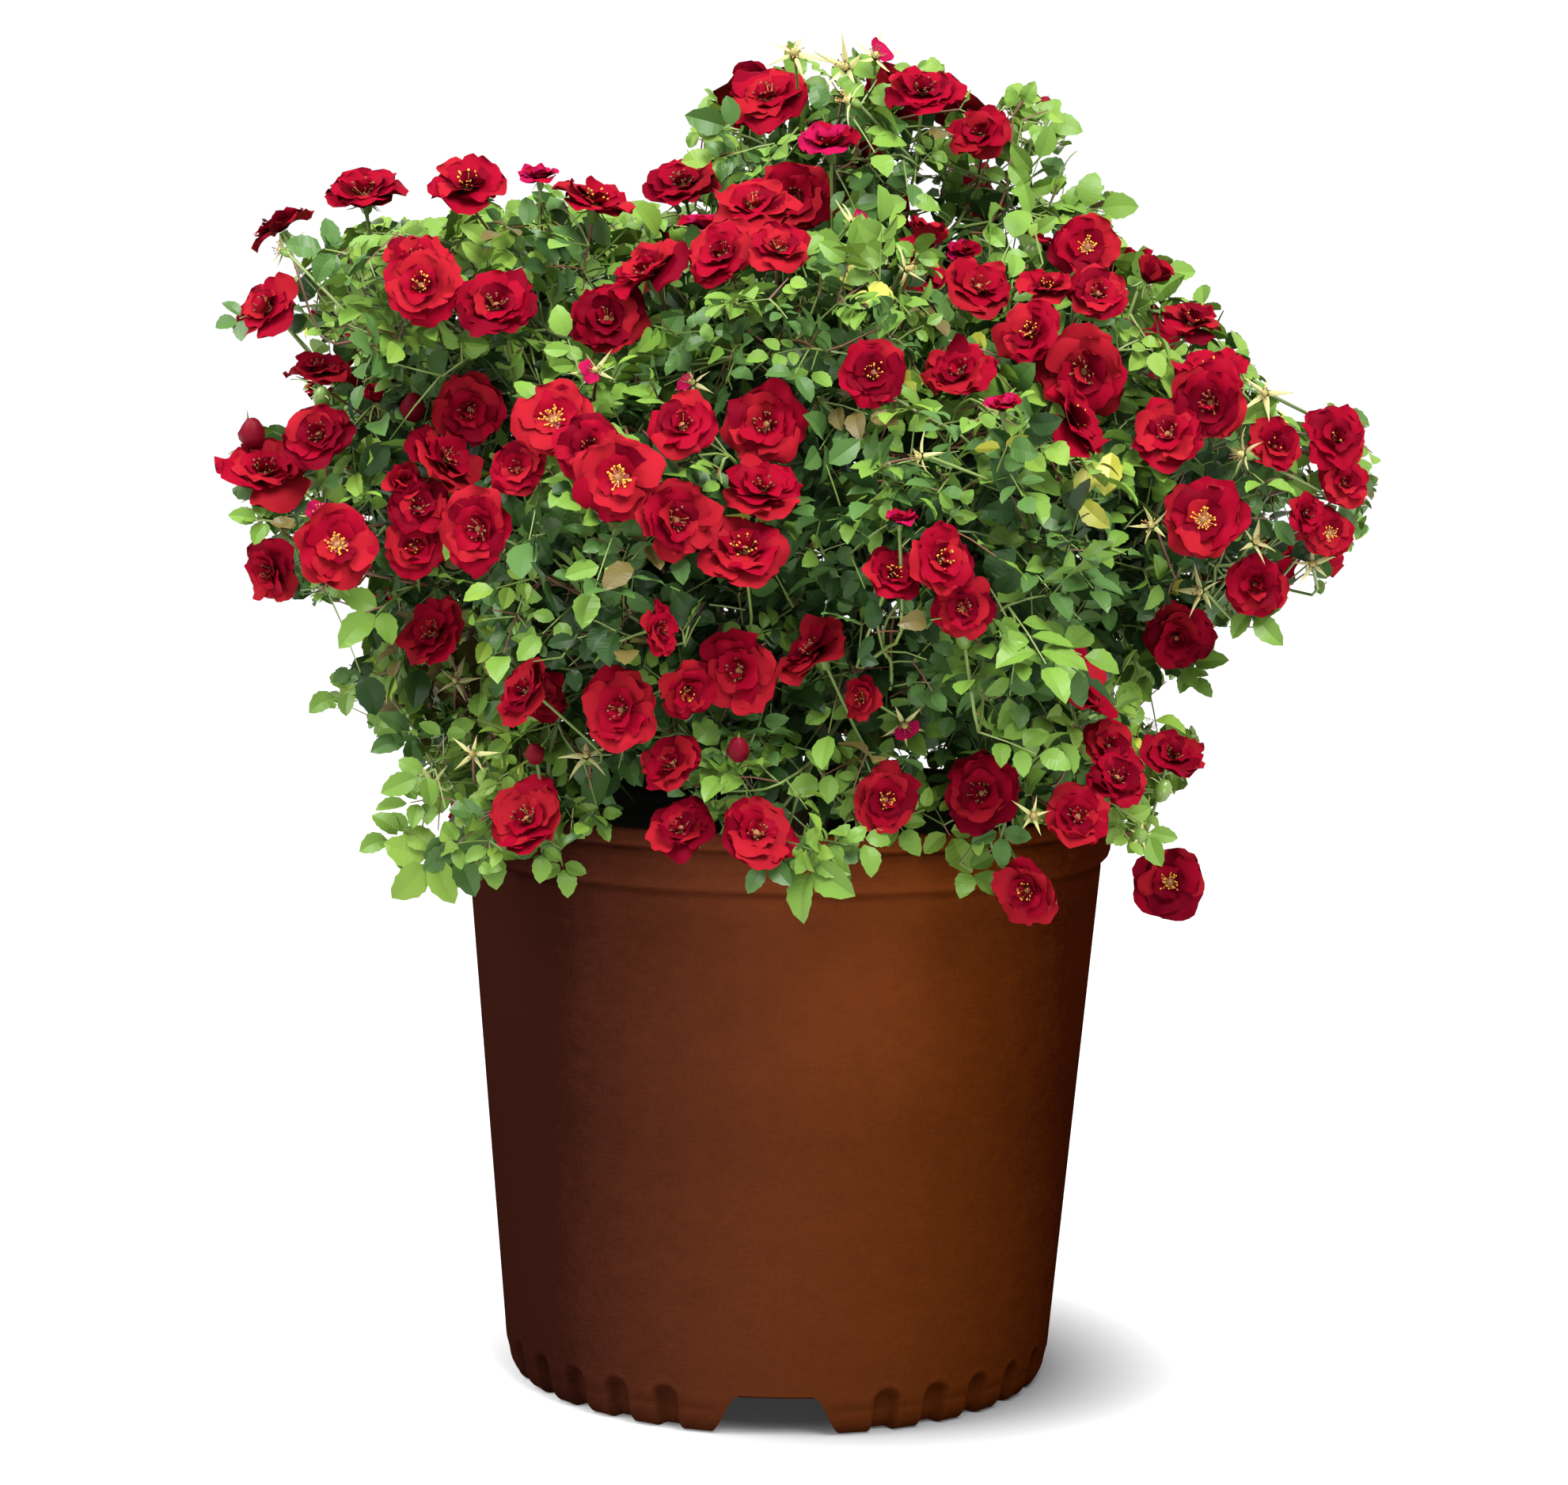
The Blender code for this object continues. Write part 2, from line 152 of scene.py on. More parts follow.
# Each flower of the front is (across, up, width) in millimetres on the upright plane through the
# pot's middle; it sits where the line of sight through that place meets the crown.
FRONT_FLOWERS = {
    "open": (
        (-8, 549, 37), (-46, 236, 30),
        (3, 506, 34), (-223, 460, 31), (-200, 434, 28), (-60, 476, 38), (-28, 483, 34), (-3, 485, 29),
        (-157, 481, 31),
        (-156, 469, 34), (-124, 461, 37), (82, 469, 31), (111, 469, 27), (133, 466, 27), (-77, 455, 34),
        (104, 449, 31), (37, 432, 31), (74, 433, 33), (127, 432, 40), (181, 434, 31), (181, 419, 34),
        (-136, 416, 32), (-45, 410, 33), (-9, 410, 37), (163, 406, 34), (-201, 406, 32), (-224, 391, 40),
        (-84, 400, 32), (-145, 395, 37), (-116, 391, 26), (-10, 383, 36), (-158, 374, 29),
        (-133, 365, 37), (-47, 369, 38), (-18, 357, 39), (-160, 357, 27), (46, 346, 26), (67, 352, 32),
        (76, 331, 27), (-153, 321, 34), (-54, 322, 24), (10, 313, 38), (-21, 304, 36), (-43, 295, 27),
        (-107, 294, 30), (-72, 287, 38), (32, 292, 20), (-50, 264, 28), (-113, 240, 37), (-13, 234, 36),
        (43, 248, 32), (84, 251, 35), (126, 241, 29), (167, 268, 29), (143, 258, 29), (104, 208, 32),
    ),
    "tilted": ((58, 553, 33), (-180, 511, 37), (-136, 514, 36), (-80, 507, 35), (-45, 514, 34)),
    "gold": (
        (128, 485, 29), (-100, 412, 35), (-72, 387, 38), (166, 212, 31), (233, 363, 23), (179, 369, 37),
        (-193, 358, 36),
    ),
    "pink": ((18, 531, 30), (-105, 516, 19), (76, 484, 17), (92, 419, 20), (49, 370, 17)),
    "side": (
        (174, 456, 29), (236, 405, 31), (210, 401, 26), (240, 385, 23), (224, 372, 21), (202, 341, 29),
        (168, 317, 31), (82, 534, 28), (-224, 346, 29), (-217, 496, 28), (140, 272, 25),
    ),
    "cup": ((157, 476, 23), (-176, 423, 14), (-164, 386, 20)),
    "bud": ((-160, 417, 13), (-229, 406, 14), (-21, 270, 12), (-109, 268, 10), (109, 544, 9)),
    "spent": (
        (3, 567, 30), (24, 561, 30), (38, 566, 25), (25, 547, 27), (-216, 484, 22), (-82, 433, 24),
        (-41, 428, 24), (52, 476, 22), (56, 396, 24), (194, 397, 26), (204, 423, 24), (156, 367, 26),
        (202, 360, 24), (177, 338, 26), (226, 350, 24), (-143, 300, 24), (-87, 268, 26),
        (-136, 268, 24), (-152, 255, 24), (-201, 372, 22), (51, 280, 24), (107, 241, 24),
    ),
    "hip": ((-199, 422, 9), (76, 319, 9), (163, 253, 9), (153, 232, 9)),
}

# The crown's outline as the eye sees it, its lower edge in front of the pot, and the openings where
# the sky shows through it (across, up, radius), in millimetres on the same plane.
OUTLINE = (
    (-134, 231), (-133, 211), (-141, 213), (-149, 224), (-152, 238), (-160, 247), (-166, 258), (-165, 270),
    (-167, 277), (-182, 272), (-184, 283),
    (-177, 292), (-206, 285), (-208, 302), (-187, 308), (-180, 317), (-190, 323), (-189, 332), (-220, 333),
    (-235, 343), (-232, 356), (-218, 361), (-220, 366), (-238, 369), (-238, 376), (-245, 385), (-243, 398),
    (-231, 410), (-216, 410), (-200, 420), (-215, 429), (-214, 438), (-203, 444), (-211, 448), (-225, 446),
    (-240, 451), (-233, 463), (-218, 472), (-213, 482), (-205, 486), (-192, 488), (-185, 497), (-158, 499),
    (-147, 498), (-136, 505), (-110, 507), (-102, 512), (-85, 509), (-65, 506), (-50, 512), (-42, 526),
    (-45, 540), (-34, 547), (-34, 557),
    (-14, 563), (-12, 574), (3, 572), (12, 564), (20, 571), (41, 574), (47, 566), (69, 566), (79, 553),
    (80, 545), (88, 544), (94, 555), (105, 555), (113, 547), (125, 534), (120, 521), (117, 510), (127, 513),
    (149, 504), (143, 490), (157, 483), (179, 483), (180, 468), (190, 455), (198, 444), (209, 425),
    (211, 413), (224, 411), (228, 419), (250, 418), (255, 401), (253, 380), (250, 356), (237, 352),
    (230, 335), (214, 338), (212, 326), (200, 322), (186, 324), (184, 312), (174, 300), (155, 293),
    (157, 283), (178, 284), (182, 268), (172, 251), (160, 248), (163, 236), (165, 220), (153, 219),
    (143, 229), (134, 217), (130, 162), (-128, 162),
)
LOWER_EDGE = (
    (-133, 211), (-122, 214), (-119, 222), (-113, 222), (-110, 215), (-103, 215), (-99, 220), (-89, 225),
    (-78, 234), (-73, 239), (-65, 239), (-63, 250), (-57, 251), (-51, 239), (-31, 234), (-22, 230),
    (-19, 222), (0, 220), (3, 208), (12, 208), (15, 219), (24, 218), (29, 230), (41, 231), (54, 230),
    (59, 236), (65, 245), (70, 236), (75, 220), (85, 217), (92, 224), (99, 224), (105, 236), (139, 234),
)
OPENINGS = (
    (97, 488, 6), (111, 489, 5), (113, 505, 5), (104, 510, 3), (87, 523, 3), (75, 527, 3), (46, 540, 3),
    (22, 556, 3), (32, 554, 3), (156, 467, 4), (155, 448, 3), (166, 469, 3), (199, 389, 4), (226, 391, 5),
    (215, 388, 4), (208, 372, 5), (219, 366, 4), (214, 349, 5), (204, 357, 4), (173, 346, 4), (187, 342, 4),
    (165, 351, 3), (148, 314, 4), (141, 296, 5), (157, 305, 3), (163, 332, 3), (194, 357, 3), (-203, 484, 4),
    (-204, 460, 4), (-187, 447, 5), (-175, 446, 3), (-182, 429, 6), (-174, 414, 3), (-187, 392, 4),
    (-203, 380, 4), (-180, 370, 4), (-183, 340, 7), (-173, 331, 3), (-191, 314, 5), (-173, 291, 3),
    (-177, 266, 4), (-164, 256, 3), (-159, 237, 3), (-151, 232, 2), (-157, 220, 2), (-152, 498, 3),
    (-119, 502, 2), (-133, 506, 2),
)
# Where young shoots gather, as (across, up, radius).
NEW_GROWTH = ((-142, 313, 26), (-94, 500, 9), (9, 552, 10))
# Leaves that stand clear of the crown: where the stalk starts and where the end leaflet's tip lies
# (across, up, across, up), the length of that leaflet and the number of leaflets.
LOOSE_LEAVES = (
    (12, 231, 5, 194, 21, 5), (-2, 230, -18, 208, 13, 5), (19, 227, 26, 208, 14, 3),
    (32, 234, 37, 218, 13, 3), (-98, 223, -95, 208, 12, 3), (-129, 230, -127, 212, 14, 3),
    (-147, 231, -171, 204, 20, 5),
    (-148, 237, -136, 208, 16, 5), (-158, 235, -186, 226, 14, 5), (-150, 249, -177, 244, 13, 5),
    (68, 237, 79, 218, 15, 3), (75, 220, 94, 207, 15, 3), (92, 237, 94, 221, 13, 3),
    (155, 237, 162, 220, 14, 3), (-152, 261, -173, 252, 14, 3), (-176, 302, -206, 287, 13, 5),
    (111, 500, 148, 502, 15, 5), (-19, 525, -43, 522, 13, 3), (-20, 534, -42, 540, 18, 3),
    (169, 307, 188, 309, 14, 3), (171, 304, 179, 297, 11, 3), (198, 332, 210, 319, 16, 3),
    (96, 540, 105, 554, 11, 3), (100, 538, 124, 535, 14, 5), (-220, 368, -238, 371, 11, 5),
    (-187, 482, -212, 487, 14, 5), (-230, 456, -241, 452, 11, 3), (-173, 332, -188, 319, 18, 3),
    (-160, 277, -170, 273, 16, 3), (47, 239, 55, 228, 12, 3), (-106, 231, -107, 213, 11, 3),
    (-82, 244, -78, 233, 10, 3),
)

# ---- how the bush grows ----

SEED = 71
MILLIMETRE = 0.001
GOLDEN_TURN = math.radians(137.5)
MASS_RINGS = ("skirt_", "flank_", "shoulder_", "crest_")
# Pitch of the joints of shoots in a mass, and how close their tips come under its skin.
NODE_PITCH = 0.019
TIP_SPACING = 0.0222
TIP_SINK = (0.003, 0.02)
# A twig's radius, and the power by which it grows with the number of joints it carries.
TWIG_RADIUS = 0.00042
TWIG_SWELL = 0.27
CANE_END_RADIUS = 0.0021
BOUGH_RADIUS = 0.0013
BARK_RADIUS = 0.00125
SHOOT_RADIUS = 0.0008
FLOWER_STALK_RADIUS = 0.00062
FLOWER_STALK_TOP_RADIUS = 0.00075
CANE_SIDES = 6
UP = Vector((0, 0, 1))
# What a shoot's next stretch costs more for its bend, and for the way walked from the cane.
BEND_PRICE = 0.3
WALK_PRICE = 0.22
EDGE_ROOM = 0.006
# Where the crown closes over the pot's rim: from which turn on, how far out, how high and how densely.
LOW_TURN = math.radians(44)
LOW_REACH = (0.084, 0.134)
LOW_HEIGHT = (POT_HEIGHT + 0.012, 0.318)
LOW_SPACING = 0.017
# How far leaves reach past the skin of the crown, and how they turn to the light.
LEAF_OVERHANG = 0.012
LEAF_LIGHT = np.array((0.04, -0.26, 0.55))
# How far flowers may sit from the skin, how far they stand off it, and their stalks.
FLOWER_REACH = 0.022
FLOWER_STAND = 0.004
FLOWER_STALK = 0.034
BUD_STALK = 0.03
CROWN_MIDDLE = 0.33
# How far the petals' middle stands above a flower's heart, as a share of its half width.
FLOWER_RISE = {
    "open": 0.2, "tilted": 0.3, "gold": 0.14, "pink": 0.34, "side": 0.34, "cup": 0.6, "bud": 0.9,
    "spent": 0.12,
}
# The flowers of the sides, the back and the top: how many, how close, of what kinds and how wide.
FAR_FLOWERS = 150
FAR_SPACING = 0.03
FAR_KINDS = {"open": 0.66, "gold": 0.05, "pink": 0.06, "cup": 0.07, "spent": 0.11, "bud": 0.04, "hip": 0.01}
FLOWER_WIDTHS = {"open": 1.0, "gold": 1.0, "pink": 0.75, "cup": 0.62, "spent": 0.72, "bud": 0.36, "hip": 0.28}
# How much of each flower's heading comes from the crown's skin, the light, the sky and chance.
FACING = {
    "open": (0.42, 0.42, 0.34, 0.24),
    "tilted": (0.1, 0.55, 0.85, 0.08),
    "gold": (0.25, 0.8, 0.2, 0.12),
    "pink": (0.34, 0.15, 0.9, 0.18),
    "side": (0.85, 0.05, 0.3, 0.16),
    "cup": (0.5, 0.3, 0.5, 0.22),
    "bud": (0.45, 0.1, 0.8, 0.2),
    "spent": (0.25, 0.55, 0.25, 0.34),
    "hip": (0.45, 0.2, 0.8, 0.2),
}


# ---- what a user may change ----


def colour(name, description, default):
    return bpy.props.FloatVectorProperty(
        name=name, description=description, subtype="COLOR", size=3, min=0, max=1, default=default
    )


def length(name, description, default):
    return bpy.props.FloatProperty(
        name=name, description=description, subtype="DISTANCE", unit="LENGTH", min=0, default=default
    )


class PotSettings(bpy.types.PropertyGroup):
    """The pot, what is in it and the canes."""

    # The plastic colours hold painted light and shade: the first two are the lit middle, left and right of
    # centre, and the dark and red browns are painted shade at the pot's left and right edges.
    plastic: colour("Plastic", "The brown left of the pot's middle", (0.0556, 0.0146, 0.0066))
    plastic_warm: colour("Warm plastic", "The brown right of the pot's middle", (0.0556, 0.0126, 0.0018))
    plastic_left_shade: colour("Dark plastic", "The purplish brown of the left edge", (0.0172, 0.0042, 0.0027))
    plastic_right_shade: colour("Red plastic", "The reddish brown of the right edge", (0.0155, 0.0023, 0.0005))
    lining: colour("Inside", "The black inside of the pot", (0.006, 0.005, 0.0045))
    grain: length("Grain", "Pitch of the moulded grain", 0.0011)
    soil: colour("Soil", "Peat and bark in the pot", (0.022, 0.013, 0.008))
    bark: colour("Bark", "Old canes", (0.115, 0.082, 0.048))
    young_bark: colour("Young canes", "Green canes", (0.085, 0.125, 0.03))


class FoliageSettings(bpy.types.PropertyGroup):
    """Leaves and twigs."""

    leaflet: length("Leaflet", "Length of the end leaflet of a full-grown leaf", 0.0142)
    leaf: length("Leaf", "Length of a leaf's stalk from shoot to end leaflet", 0.0235)
    # The greens from deep to yellow green are partly the leaves' age and partly painted light and shade: a
    # spray's place in the crown picks a darker green in shade and a paler one in light.
    deep: colour("Deep green", "Old leaves in shade", (0.014, 0.0375, 0.008))
    blue: colour("Blue green", "Old leaves that shine", (0.05, 0.109, 0.0255))
    mid: colour("Mid green", "Full-grown leaves", (0.101, 0.188, 0.027))
    bright: colour("Bright green", "Younger leaves", (0.121, 0.204, 0.0265))
    lime: colour("Yellow green", "Young leaves in full light", (0.15, 0.23, 0.0285))
    yellow: colour("Yellow", "Fading leaves", (0.33, 0.33, 0.034))
    bronze: colour("Bronze", "New leaves", (0.084, 0.066, 0.019))
    stalk: colour("Stalk", "Leaf stalks and green shoots", (0.13, 0.19, 0.04))
    red_stalk: colour("Red stalk", "Young shoots that the sun has reddened", (0.13, 0.055, 0.028))


class FlowerSettings(bpy.types.PropertyGroup):
    """Flowers, spent flowers and buds."""

    width: length("Width", "Width of a flower where none is given", 0.034)
    # Scarlet, red and crimson are the petals' own reds and also stand in for painted light and shade, scarlet
    # in light and crimson in the heart's shade; the wine colour is painted shade at a petal's foot.
    scarlet: colour("Scarlet", "Petals in light", (0.218, 0.006, 0.012))
    red: colour("Red", "Most petals", (0.178, 0.0014, 0.0102))
    crimson: colour("Crimson", "Petals of the heart", (0.106, 0.0008, 0.007))
    wine_shade: colour("Wine", "The shaded foot of a petal", (0.0375, 0.0004, 0.0031))
    magenta: colour("Magenta", "Old petals", (0.227, 0.0033, 0.036))
    blush: colour("Blush", "The pale foot of the petals round the heart", (0.38, 0.09, 0.1))
    gold: colour("Gold", "Anthers", (0.62, 0.3, 0.02))
    amber: colour("Amber", "Old anthers", (0.16, 0.062, 0.014))
    cream: colour("Cream", "Sepals of spent flowers", (0.4, 0.38, 0.15))
    sepal: colour("Sepal", "Cups under the flowers, and hips", (0.11, 0.19, 0.032))


class StageSettings(bpy.types.PropertyGroup):
    """Floor, light and camera."""

    floor: colour("Floor", "The pale floor", (0.5, 0.5, 0.5))
    floor_glow: bpy.props.FloatProperty(
        name="Floor glow", description="Light of the floor itself", min=0, default=0.5
    )
    sky: bpy.props.FloatProperty(
        name="Sky", description="Strength of the white surround", min=0, default=1.02
    )
    key: bpy.props.FloatProperty(
        name="Key", description="Power of the main soft light", unit="POWER", min=0, default=90
    )
    fill: bpy.props.FloatProperty(
        name="Fill", description="Power of the soft light on the left", unit="POWER", min=0, default=64
    )


def settings(group):
    return getattr(bpy.context.scene, f"rose_{group}")


# ---- making materials ----


class Term:
    """A value in a shader: an expression on terms adds the Math nodes that work it out."""

    def __init__(self, finish, socket):
        self.finish = finish
        self.socket = socket

    def out(self, name):
        return Term(self.finish, self.socket.node.outputs[name])

    def maths(self, operation, *values):
        return self.finish.node("ShaderNodeMath", {"operation": operation}, dict(enumerate(values)))

    def __add__(self, other):
        return self.maths("ADD", self, other)

    def __sub__(self, other):
        return self.maths("SUBTRACT", self, other)

    def __rsub__(self, other):
        return self.maths("SUBTRACT", other, self)

    def __mul__(self, other):
        return self.maths("MULTIPLY", self, other)

    def __truediv__(self, other):
        return self.maths("DIVIDE", self, other)

    def __pow__(self, other):
        return self.maths("POWER", self, other)

    def __abs__(self):
        return self.maths("ABSOLUTE", self)

    __radd__ = __add__
    __rmul__ = __mul__


class Finish:
    """A material in the making: one Principled shader, and the nodes that feed it."""

    def __init__(self, name):
        self.material = bpy.data.materials.new(name)
        self.material.use_nodes = True
        self.tree = self.material.node_tree
        self.tree.nodes.clear()
        output = self.tree.nodes.new("ShaderNodeOutputMaterial")
        self.shader = self.tree.nodes.new("ShaderNodeBsdfPrincipled")
        self.tree.links.new(self.shader.outputs[0], output.inputs["Surface"])

    def feed(self, made, values):
        for key, value in values.items():
            socket = made.inputs[key]
            if isinstance(value, Term):
                self.tree.links.new(value.socket, socket)
            elif socket.type == "RGBA":
                socket.default_value = (*value[:3], 1.0)
            else:
                socket.default_value = value

    def node(self, kind, chosen=None, values=None, output=0):
        """Adds a node: first what is chosen on it, then the values or links of its sockets."""
        made = self.tree.nodes.new(kind)
        for key, value in (chosen or {}).items():
            setattr(made, key, value)
        self.feed(made, values or {})
        return Term(self, made.outputs[output])

    @functools.cached_property
    def place(self):
        """The place on the piece, in its own measure."""
        return self.node("ShaderNodeTexCoord").out("Object")

    def axes(self):
        split = self.node("ShaderNodeSeparateXYZ", None, {0: self.place})
        return split.out("X"), split.out("Y"), split.out("Z")

    def joined(self, x, y, z):
        return self.node("ShaderNodeCombineXYZ", None, {0: x, 1: y, 2: z})

    def rise(self, value, low, high):
        """0 below low, 1 above high and a steady rise between."""
        return self.node("ShaderNodeMapRange", None, {"Value": value, "From Min": low, "From Max": high})

    def mix(self, share, first, second):
        """A colour between two others."""
        return self.node("ShaderNodeMix", {"data_type": "RGBA"}, {0: share, 6: first, 7: second}, output=2)

    def noise(self, where, scale, detail=2.0, roughness=0.5):
        values = {"Vector": where, "Scale": scale, "Detail": detail, "Roughness": roughness}
        return self.node("ShaderNodeTexNoise", None, values)

    def surface(self, **values):
        """Sets the Principled shader's own sockets, named with _ for a space."""
        self.feed(self.shader, {key.replace("_", " "): value for key, value in values.items()})
        return self.material

    def bumped(self, height, distance, strength=1.0):
        values = {"Height": height, "Distance": distance, "Strength": strength}
        return self.node("ShaderNodeBump", None, values)


def scaled(tint, by):
    """A colour made lighter or darker."""
    return tuple(min(1, by * part) for part in tint)


def plain(name, tint, roughness, **more):
    """An even finish, for the small pieces whose colours are dealt out one by one."""
    return Finish(name).surface(Base_Color=tint, Roughness=roughness, **more)


def plastic_finish(chosen):
    """Moulded brown plastic: faint clouds and a fine linen-like grain, with its satin look painted in as
    light and shade: a pale lit stretch across the middle, shaded edges, and painted light under and on the
    rim band.
    """
    finish = Finish("brown_plastic_grained")
    across, back, up = finish.axes()
    around = across.maths("ARCTAN2", across, back) * HEEL_RADIUS
    pitch = 1 / chosen.grain
    warp = finish.noise(finish.joined(around * 3.2, up * 0.55, 0.0), pitch * 0.42, 1.0)
    weft = finish.noise(finish.joined(around * 0.55, up * 3.2, 4.0), pitch * 0.42, 1.0)
    speckle = finish.noise(finish.place, pitch * 1.1, 2.0)
    clouds = finish.noise(finish.place, 9.0, 4.0, 0.62)
    blotches = finish.noise(finish.joined(around, up, 0.0), 95.0, 3.0, 0.6)
    # Painted light and shade: the brown is palest in a lit stretch near the pot's middle and falls to painted
    # shade at its left and right edges, broken up by the clouds, blotches and grain.
    aside = (across - PAINTED_LIGHT_MIDDLE) / PAINTED_LIGHT_WIDTH
    shade = 0.92 - aside * aside + (clouds + blotches + warp + weft - 2.0) * 0.32
    rightward = across * PLASTIC_TURN + 0.5
    edge = finish.mix(rightward, chosen.plastic_left_shade, chosen.plastic_right_shade)
    tint = finish.mix(shade, edge, finish.mix(rightward, chosen.plastic, chosen.plastic_warm))
    # Painted light lifts the brown paler under the rim band and on the band itself, most near the middle of
    # its palest part.
    rise = finish.rise(up, *PAINTED_LIGHT_BAND) * 0.66 + finish.rise(up, *RIM_PAINTED_LIGHT_BAND) * 0.4
    paler = 1 + rise * (1 - abs(across - PAINTED_HIGHLIGHT_MIDDLE) * 4.5)
    relief = (warp + weft) * 0.5 + speckle * 0.35
    return finish.surface(
        Base_Color=finish.node("ShaderNodeVectorMath", {"operation": "SCALE"}, {0: tint, "Scale": paler}),
        Roughness=0.36 + blotches * 0.1 + speckle * 0.06,
        Specular_IOR_Level=0.0,
        Normal=finish.bumped(relief, 0.00035, 0.55),
    )


def lining_finish(chosen):
    """The inside of the pot: black, with a dull shine."""
    finish = Finish("black_lining")
    rubbed = finish.noise(finish.place, 60.0, 4.0)
    return finish.surface(
        Base_Color=finish.mix(rubbed, chosen.lining, scaled(chosen.lining, 3)),
        Roughness=0.42 + rubbed * 0.2,
        Normal=finish.bumped(finish.noise(finish.place, 700.0, 2.0), 0.0002, 0.4),
    )


def underside_finish(chosen):
    """The underside of the pot: the plastic in the painted shade of its left edge, with darker random scuffs.
    """
    finish = Finish("brown_plastic_under")
    scuffs = finish.noise(finish.place, 120.0, 4.0)
    return finish.surface(
        Base_Color=finish.mix(scuffs, chosen.plastic_left_shade, scaled(chosen.plastic_left_shade, 0.4)),
        Roughness=0.5 + scuffs * 0.2,
        Normal=finish.bumped(scuffs, 0.0004, 0.5),
    )


def soil_finish(name, tint, paler):
    """Crumbly stuff, darker where it is damp."""
    finish = Finish(name)
    crumbs = finish.noise(finish.place, 420.0, 5.0, 0.7)
    damp = finish.noise(finish.place, 38.0, 3.0)
    return finish.surface(
        Base_Color=finish.mix(crumbs * damp * 2.2, tint, paler),
        Roughness=0.82 + crumbs * 0.15,
        Normal=finish.bumped(crumbs, 0.0012, 0.9),
    )


def bark_finish(name, tint, paler, length_scale):
    """Bark in long streaks, with paler corky flecks."""
    finish = Finish(name)
    stretch = {"Vector": finish.place, "Scale": (1.0, 1.0, length_scale)}
    streaks = finish.noise(finish.node("ShaderNodeMapping", None, stretch), 520.0, 4.0, 0.65)
    flecks = finish.noise(finish.place, 190.0, 3.0)
    return finish.surface(
        Base_Color=finish.mix(streaks * 0.8 + flecks * 0.5 - 0.15, tint, paler),
        Roughness=0.6 + streaks * 0.22,
        Normal=finish.bumped(streaks, 0.0007, 0.8),
    )


# ---- making meshes ----


class Pile:
    """Gathers the points and faces of one piece; each face knows the number of its finish."""

    def __init__(self):
        self.points = []
        self.faces = []
        self.finishes = []
        self.count = 0

    def add(self, points, faces, finish=0):
        points = np.asarray(points, float).reshape(-1, 3)
        faces = np.asarray(faces, int)
        self.points.append(points)
        self.faces.append(faces + self.count)
        self.finishes.append(np.broadcast_to(np.asarray(finish, int), (len(faces),)))
        self.count += len(points)

    def add_many(self, copies, faces, finish):
        """Adds copies of one shape; the finish is one for all, one for each, or one for each face too.

        The faces may be of several kinds, as a list of arrays.
        """
        copies = copies.reshape(len(copies), -1, 3)
        starts = np.arange(len(copies)) * copies.shape[1] + self.count
        finish = np.array(finish)
        if finish.ndim == 1:
            finish = finish[:, None]
        for kind in faces:
            self.faces.append((kind + starts[:, None, None]).reshape(-1, kind.shape[1]))
            self.finishes.append(np.broadcast_to(finish, (len(copies), len(kind))).ravel())
        self.points.append(copies.reshape(-1, 3))
        self.count += len(self.points[-1])

    def mesh(self, name, materials, smooth):
        points = np.concatenate(self.points)
        loops = np.concatenate([faces.ravel() for faces in self.faces])
        sizes = np.concatenate([np.full(len(faces), faces.shape[1]) for faces in self.faces])
        mesh = bpy.data.meshes.new(name)
        mesh.vertices.add(len(points))
        mesh.vertices.foreach_set("co", points.astype(np.float32).ravel())
        mesh.loops.add(len(loops))
        mesh.loops.foreach_set("vertex_index", loops.astype(np.int32))
        mesh.polygons.add(len(sizes))
        starts = np.concatenate([[0], np.cumsum(sizes)[:-1]])
        mesh.polygons.foreach_set("loop_start", starts.astype(np.int32))
        for material in materials:
            mesh.materials.append(material)
        mesh.polygons.foreach_set("material_index", np.concatenate(self.finishes).astype(np.int32))
        mesh.polygons.foreach_set("use_smooth", np.full(len(sizes), smooth))
        mesh.update(calc_edges=True)
        mesh.validate()
        return mesh


def place(name, pile, materials, nodes=(), smooth=True):
    """Makes a piece of what the pile holds; it rides with the plant and stands for the nodes."""
    piece = bpy.data.objects.new(name, pile.mesh(name, materials, smooth))
    bpy.context.scene.collection.objects.link(piece)
    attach(piece, BODY)
    if nodes:
        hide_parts(*nodes)


def grid_faces(rows, columns, closed=False):
    """Four-cornered faces of a grid of rows by columns, closed round its columns if asked."""
    row, column = np.indices((rows - 1, columns if closed else columns - 1))
    row, column = row.ravel() * columns, column.ravel()
    after = (column + 1) % columns
    return np.stack([row + column, row + after, row + columns + after, row + columns + column], axis=1)


def turns_of(number):
    """That many azimuths, evenly round."""
    return np.arange(number) * 2 * np.pi / number


def round_axis(radii, turns, heights):
    """Places round the pot's axis, at azimuths taken from the front."""
    return np.stack(np.broadcast_arrays(radii * np.sin(turns), -radii * np.cos(turns), heights), axis=-1)


def spun(profile, turns):
    """The places of a profile of (radius, height) spun round the pot's axis."""
    radii, heights = np.array(profile).T[..., None]
    return round_axis(radii, turns, heights)


def unit(vectors):
    """Each row of an array, made one long."""
    return vectors / np.maximum(np.linalg.norm(vectors, axis=-1, keepdims=True), 1e-9)


def close_end(pile, ring, tip, finish):
    """Draws a ring in to one point."""
    sides = len(ring)
    fan = [[index, (index + 1) % sides, sides] for index in range(sides)]
    pile.add(np.vstack([ring, tip]), fan, finish)


